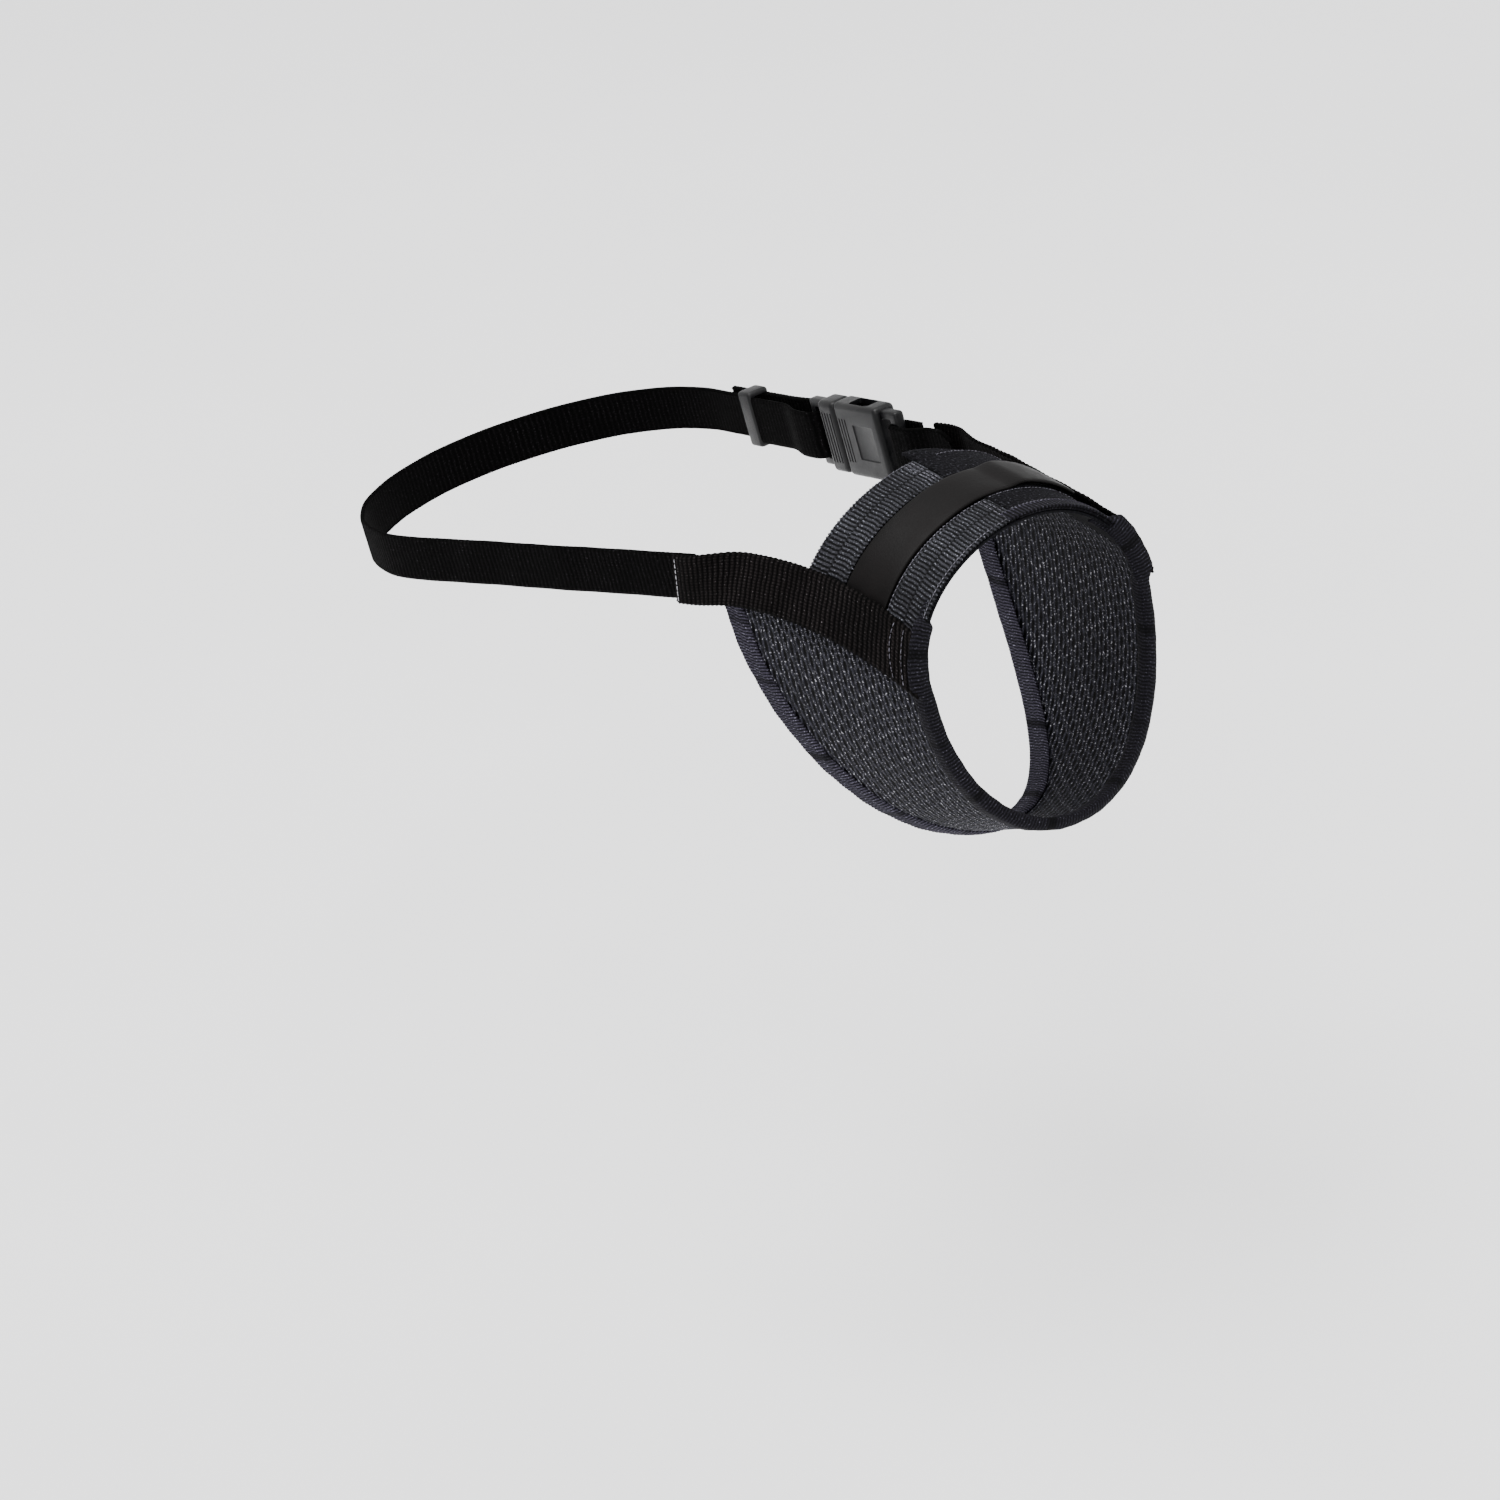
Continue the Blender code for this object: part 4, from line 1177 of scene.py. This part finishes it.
def route_place(route, half, start_round=False):
    """Lays a strap along a route of (along the left run, lift) points, whose corners it rounds off."""
    route = np.array(route, float)
    steps = np.linalg.norm(np.diff(route, axis=0), axis=1)
    reach = np.concatenate([[0], np.cumsum(steps)])
    fine = np.linspace(0, reach[-1], 600)
    s, rise = (np.interp(fine, reach, route[:, axis]) for axis in (0, 1))
    soft = np.ones(15) / 15
    for _ in range(2):
        s = np.concatenate([s[:7], np.convolve(s, soft, "valid"), s[-7:]])
        rise = np.concatenate([rise[:7], np.convolve(rise, soft, "valid"), rise[-7:]])
    way = np.stack([np.gradient(s), np.gradient(rise)], -1)
    way = way / np.linalg.norm(way, axis=1, keepdims=True)
    share = fine / reach[-1]

    def place(across, along, height):
        here_s, here_rise = np.interp(along, share, s), np.interp(along, share, rise)
        normal_s, normal_rise = -np.interp(along, share, way[:, 1]), np.interp(along, share, way[:, 0])
        wide = rounded_width(here_s, half) if start_round else half
        lift = NECK_STRAP / 2 - 0.3 * rim_at(across, 0.45) + height
        spread = (2 * across - 1) * wide
        back = LOOP_LENGTH - (here_s + normal_s * lift)
        return neck_point(back, spread, here_rise + normal_rise * lift)

    return place


HALF_TURN = np.linspace(-PI / 2, PI / 2, 25)


class MUZZLE_OT_short_webbing(bpy.types.Operator):
    """The short lead round the socket's bar, and the adjusting end round the plug's bar"""

    bl_idname = "muzzle.short_webbing"
    bl_label = "Lead and adjusting end"

    def execute(self, context):
        pitch = context.scene.muzzle_sizes.grid_pitch / MM
        half = NECK_WIDTH / 2
        rise = BAR_HALF + GAP + NECK_STRAP / 2
        socket_low, _ = run_box("buckle_socket")
        turn = socket_low.x + BAR + GAP + NECK_STRAP / 2
        bend = [(turn - rise + rise * math.cos(a), rise * math.sin(a)) for a in HALF_TURN]
        flat, step, folded_end = 4.0, 9.0, 12.4
        legs = [(-half * 0.99, 0.0), (0.0, 0.0), (flat, 0.0)]
        legs += [(flat + step * t, -rise * float(eased(t))) for t in np.linspace(0.1, 1, 10)]
        route = legs + bend + [(folded_end, rise)]
        lead = lay_cloth(
            "socket_lead_webbing", NECK_WIDTH, WEBBING_GRID, route_place(route, half, True),
            finish(polyester_webbing), STRAP_WALL, dotted_yarn(pitch, 2 * pitch, half, 5.0), 0.2,
        )
        belongs(lead, "neck_loop", "webbing", "neck_lead")
        self.adjuster(pitch, half, rise)
        return {"FINISHED"}

    def adjuster(self, pitch, half, rise):
        _, plug_high = run_box("buckle_plug")
        bar_rear = plug_high.x
        turn = bar_rear - BAR - GAP - NECK_STRAP / 2
        top = NECK_STRAP + GAP
        near, far, tail_step = bar_rear + 4, bar_rear + 16, 14
        inner = [(STRAP_JOIN, 0.0), (far, 0.0)]
        inner += [(far + (near - far) * t, -rise * float(eased(t))) for t in np.linspace(0.1, 1, 10)]
        bend = [(turn + rise - rise * math.cos(a), rise * math.sin(a)) for a in HALF_TURN]
        outer = [(near + tail_step * t, rise + (top - rise) * float(eased(t))) for t in np.linspace(0, 1, 10)]
        place = route_place(inner + bend + outer + [(TAIL_END, top)], half)
        tail = lay_cloth(
            "adjuster_webbing", NECK_WIDTH, WEBBING_GRID,
            lambda across, along, height: place(across, 1 - along, -height),
            finish(polyester_webbing), STRAP_WALL, dotted_yarn(pitch, 2 * pitch, half, 7.0), 0.2,
        )
        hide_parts("plug_wrap", "strap_tail")
        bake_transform(tail)


# ---------------------------------------------------------------- buckle and keeper


def moulding(name, low, high, round_edge, segments=3):
    """A block between two corners of the left run, with its edges rounded."""
    deselect()
    size = Vector(high) - Vector(low)
    centre = (Vector(high) + Vector(low)) / 2
    bpy.ops.mesh.primitive_cube_add(size=1, location=centre * MM, scale=size * MM)
    piece = bpy.context.object
    piece.name = name
    bpy.ops.object.transform_apply(location=True, rotation=True, scale=True)
    if round_edge:
        bevel = piece.modifiers.new("rounded", "BEVEL")
        bevel.width = round_edge * MM
        bevel.segments = segments
        apply_modifiers(piece)
    return piece


def boolean(piece, other, operation):
    """Cuts another moulding out of a piece, or joins it on, and uses it up."""
    step = piece.modifiers.new(operation, "BOOLEAN")
    step.operation = operation
    step.object = other
    step.solver = "EXACT"
    apply_modifiers(piece)
    bpy.data.objects.remove(other, do_unlink=True)


def finished_moulding(piece, body, node):
    """Puts a moulding from the left run's axes into place and gives it its finish."""
    mesh = piece.data
    mesh.transform(left_run())
    pick(piece)
    bpy.ops.object.mode_set(mode="EDIT")
    bpy.ops.mesh.select_all(action="SELECT")
    bpy.ops.mesh.remove_doubles(threshold=0.002 * MM)
    bpy.ops.mesh.normals_make_consistent(inside=False)
    bpy.ops.object.mode_set(mode="OBJECT")
    mesh.materials.clear()
    mesh.materials.append(finish(moulded_acetal))
    mesh.shade_smooth()
    mesh.set_sharp_from_angle(angle=math.radians(32))
    belongs(piece, body, "buckle_plastic", node)


def ridges(piece, start, direction, count, half, thick, depth):
    """Cuts rows of finger grooves across both faces of a buckle half, RIDGE_PITCH apart from start."""
    for face in (-thick, thick):
        for row in range(count):
            at = start + direction * RIDGE_PITCH * row
            low, high = (at - RIDGE_HALF, -half, face - depth), (at + RIDGE_HALF, half, face + depth)
            boolean(piece, moulding("groove", low, high, 0.2, 2), "DIFFERENCE")


def strap_frame(piece, start, end, bar_start, slot_end, wide, half):
    """Joins a thin frame with one strap slot to a buckle half."""
    boolean(piece, moulding("frame", (start, -wide, -BAR_HALF), (end, wide, BAR_HALF), 0.9), "UNION")
    slot_half = NECK_WIDTH / 2 + 3 * GAP
    slot = moulding("slot", (bar_start, -slot_half, -half), (slot_end, slot_half, half), 0.6)
    boolean(piece, slot, "DIFFERENCE")


class MUZZLE_OT_buckle_socket(bpy.types.Operator):
    """The socket half of the side-release buckle"""

    bl_idname = "muzzle.buckle_socket"
    bl_label = "Buckle socket"

    def execute(self, context):
        low, high = run_box("buckle_socket")
        start = low.x + BAR + SLOT
        wide, thick = high.y, high.z
        socket = moulding("buckle_socket_body", (start, -wide, -thick), (high.x, wide, thick), CORNER, 5)
        strap_frame(socket, low.x, start + 3, low.x + BAR, start, wide - 1, thick + 2)
        room, inside = thick - SHELL_WALL, wide - SHELL_WALL
        closed, near = high.x - CAVITY_DEPTH, high.x - WINDOW_START
        cavity = moulding("cavity", (closed, -inside, -room), (high.x + 1, inside, room), 0.8)
        boolean(socket, cavity, "DIFFERENCE")
        far_corner = (near - WINDOW_LENGTH, -wide - 1, -room)
        boolean(socket, moulding("windows", far_corner, (near, wide + 1, room), 0.9), "DIFFERENCE")
        for face in (-thick, thick):
            dish_low, dish_high = (start + 3.5, -5.2, face - 0.35), (start + 13.5, 5.2, face + 0.35)
            boolean(socket, moulding("dish", dish_low, dish_high, 0.34), "DIFFERENCE")
        ridges(socket, high.x - 2.2, -1, 3, 6.5, thick, 0.25)
        finished_moulding(socket, "neck_loop", "buckle_socket")
        return {"FINISHED"}


class MUZZLE_OT_buckle_plug(bpy.types.Operator):
    """The plug half: its body, strap frame and middle guide"""

    bl_idname = "muzzle.buckle_plug"
    bl_label = "Buckle plug"

    def execute(self, context):
        low, high = run_box("buckle_plug")
        wide, thick = high.y, high.z
        face = low.x + PLUG_SHOULDER
        body_end = high.x - BAR - SLOT
        plug = moulding("buckle_plug_body", (face, -wide, -thick), (body_end, wide, thick), CORNER, 5)
        strap_frame(plug, body_end - 3, high.x, body_end, body_end + SLOT, wide - 0.7, thick + 2)
        guide = moulding("guide", (low.x, -1.6, -1.8), (face + 2, 1.6, 1.8), 0.7)
        boolean(plug, guide, "UNION")
        ridges(plug, face + 1.9, 1, 4, 7.5, thick, 0.28)
        finished_moulding(plug, "buckle_plug", "buckle_plug")
        return {"FINISHED"}


class MUZZLE_OT_prongs(bpy.types.Operator):
    """The plug's two sprung prongs, whose heads show in the socket's windows"""

    bl_idname = "muzzle.prongs"
    bl_label = "Prongs"

    def execute(self, context):
        for name, side in (("upper", 1), ("lower", -1)):
            self.prong(name, side)
        return {"FINISHED"}

    def prong(self, name, side):
        low, high = run_box("prong_" + name)
        outer, inner = sorted((side * low.y, side * high.y), reverse=True)
        thick = high.z - PRONG_SHAVE
        root, tip = high.x, low.x
        centre, half = side * (inner + PRONG_ARM / 2), PRONG_ARM / 2
        piece = moulding("prong_arm_" + name, (tip, centre - half, -thick), (root, centre + half, thick), 0)
        rings = (
            (0.45, inner + PRONG_ARM * 0.55, PRONG_ARM),
            (0.60, outer - 1.2, 2.4),
            (0.85, outer - 1.3, 2.3),
            (1.0, inner + 1.2, 1.3),
        )
        pick(piece)
        for share, _, _ in rings[:-1]:
            bpy.ops.object.mode_set(mode="EDIT")
            bpy.ops.mesh.select_all(action="SELECT")
            at = root + (tip - root) * share
            bpy.ops.mesh.bisect(plane_co=(at * MM, 0, 0), plane_no=(1, 0, 0))
            bpy.ops.object.mode_set(mode="OBJECT")
        for share, middle, width in rings:
            at = (root + (tip - root) * share) * MM
            for part in (*piece.data.polygons, *piece.data.edges):
                part.select = False
            for vertex in piece.data.vertices:
                vertex.select = abs(vertex.co.x - at) < 0.00001
            bpy.ops.object.mode_set(mode="EDIT")
            bpy.ops.transform.resize(value=(1, width / PRONG_ARM, 1), center_override=(at, centre * MM, 0))
            bpy.ops.transform.translate(value=(0, (side * middle - centre) * MM, 0))
            bpy.ops.object.mode_set(mode="OBJECT")
        bevel = piece.modifiers.new("rounded", "BEVEL")
        bevel.width = 0.45 * MM
        bevel.segments = 3
        apply_modifiers(piece)
        finished_moulding(piece, "prong_" + name, "prong_" + name)


class MUZZLE_OT_keeper(bpy.types.Operator):
    """The moulded loop that holds the strap's tail down"""

    bl_idname = "muzzle.keeper"
    bl_label = "Strap keeper"

    def execute(self, context):
        low, high = run_box("strap_keeper")
        loop = moulding("keeper_loop", low, high, 1.1, 4)
        hole_low = (low.x - 1, low.y + KEEPER_WALL, low.z + KEEPER_WALL)
        hole_high = (high.x + 1, high.y - KEEPER_WALL, high.z - KEEPER_WALL)
        boolean(loop, moulding("hole", hole_low, hole_high, 0.4, 2), "DIFFERENCE")
        middle = (low.x + high.x) / 2
        rib_low, rib_high = (middle - 0.6, low.y + 2, high.z - 0.4), (middle + 0.6, high.y - 2, high.z + 0.25)
        boolean(loop, moulding("rib", rib_low, rib_high, 0.3), "UNION")
        finished_moulding(loop, "strap_keeper", "strap_keeper")
        return {"FINISHED"}


# ---------------------------------------------------------------- stage


FLOOR_CLEARANCE = 1.05


def soft_light(name, place, size, watts):
    """A square area light that looks at the nose band."""
    lamp = bpy.data.lights.new(name, "AREA")
    lamp.size = size
    lamp.energy = watts
    holder = bpy.data.objects.new(name, lamp)
    bpy.context.scene.collection.objects.link(holder)
    holder.location = place
    holder.rotation_euler = Vector(place).to_track_quat("Z", "Y").to_euler()


class MUZZLE_OT_stage(bpy.types.Operator):
    """Pale floor, low enough for the neck strap to hang clear of it, soft studio light and the camera"""

    bl_idname = "muzzle.stage"
    bl_label = "Stage"

    def execute(self, context):
        view = context.scene.muzzle_view
        hanging = PIVOT_Z - FLOOR_CLEARANCE * (LOOP_CENTRE + LOOP_RADIUS)
        deselect()
        bpy.ops.mesh.primitive_plane_add(size=12, location=(0, 0, hanging * MM))
        floor = context.object
        floor.name = "studio_floor"
        floor.data.materials.append(finish(painted_floor))
        world = bpy.data.worlds.new("studio")
        world.use_nodes = True
        world.node_tree.nodes["Background"].inputs["Color"].default_value = (1, 1, 1, 1)
        world.node_tree.nodes["Background"].inputs["Strength"].default_value = 1.25
        context.scene.world = world
        soft_light("overhead", (-0.15, 0.35, 1.5), 1.1, 42)
        soft_light("front", (-1.1, -1.2, 0.9), 1.0, 18)
        soft_light("side", (1.4, -0.3, 0.8), 1.0, 10)
        self.camera(view)
        return {"FINISHED"}

    def camera(self, view):
        a, e, r = view.azimuth, view.elevation, view.roll
        back = Vector((math.sin(a) * math.cos(e), -math.cos(a) * math.cos(e), math.sin(e)))
        level = Vector((math.cos(a), math.sin(a), 0))
        up = back.cross(level)
        right = math.cos(r) * level + math.sin(r) * up
        top = math.cos(r) * up - math.sin(r) * level
        lens = bpy.data.cameras.new("studio camera")
        lens.lens = view.lens
        holder = bpy.data.objects.new("studio camera", lens)
        bpy.context.scene.collection.objects.link(holder)
        place = back * view.distance - right * view.aside - top * view.above
        turned = Matrix((right, top, back)).transposed().to_4x4()
        holder.matrix_world = Matrix.Translation(place) @ turned
        bpy.context.scene.camera = holder


PIECES = (
    MUZZLE_OT_stage,
    MUZZLE_OT_lining,
    MUZZLE_OT_nose_tapes,
    MUZZLE_OT_bridge_panel,
    MUZZLE_OT_nose_strap,
    MUZZLE_OT_air_mesh,
    MUZZLE_OT_bindings,
    MUZZLE_OT_side_straps,
    MUZZLE_OT_seams,
    MUZZLE_OT_neck_strap,
    MUZZLE_OT_short_webbing,
    MUZZLE_OT_buckle_socket,
    MUZZLE_OT_buckle_plug,
    MUZZLE_OT_prongs,
    MUZZLE_OT_keeper,
)


class MUZZLE_PT_panel(bpy.types.Panel):
    """Lists the muzzle's pieces and sizes"""

    bl_label = "Soft dog muzzle"
    bl_idname = "MUZZLE_PT_panel"
    bl_space_type = "VIEW_3D"
    bl_region_type = "UI"
    bl_category = "Muzzle"

    def draw(self, context):
        for group in (context.scene.muzzle_sizes, context.scene.muzzle_colours, context.scene.muzzle_view):
            box = self.layout.box()
            for key in group.bl_rna.properties.keys():
                if key not in ("rna_type", "name"):
                    box.prop(group, key)
        for piece in PIECES:
            self.layout.operator(piece.bl_idname)


CLASSES = (MuzzleSizes, MuzzleColours, StudioView, *PIECES, MUZZLE_PT_panel)


def register():
    for item in CLASSES:
        bpy.utils.register_class(item)
    bpy.types.Scene.muzzle_sizes = bpy.props.PointerProperty(type=MuzzleSizes)
    bpy.types.Scene.muzzle_colours = bpy.props.PointerProperty(type=MuzzleColours)
    bpy.types.Scene.muzzle_view = bpy.props.PointerProperty(type=StudioView)


def unregister():
    del bpy.types.Scene.muzzle_view
    del bpy.types.Scene.muzzle_colours
    del bpy.types.Scene.muzzle_sizes
    for item in reversed(CLASSES):
        bpy.utils.unregister_class(item)


def main():
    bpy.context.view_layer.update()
    register()
    for piece in PIECES:
        group, name = piece.bl_idname.split(".")
        getattr(getattr(bpy.ops, group), name)()


if __name__ == "__main__":
    main()
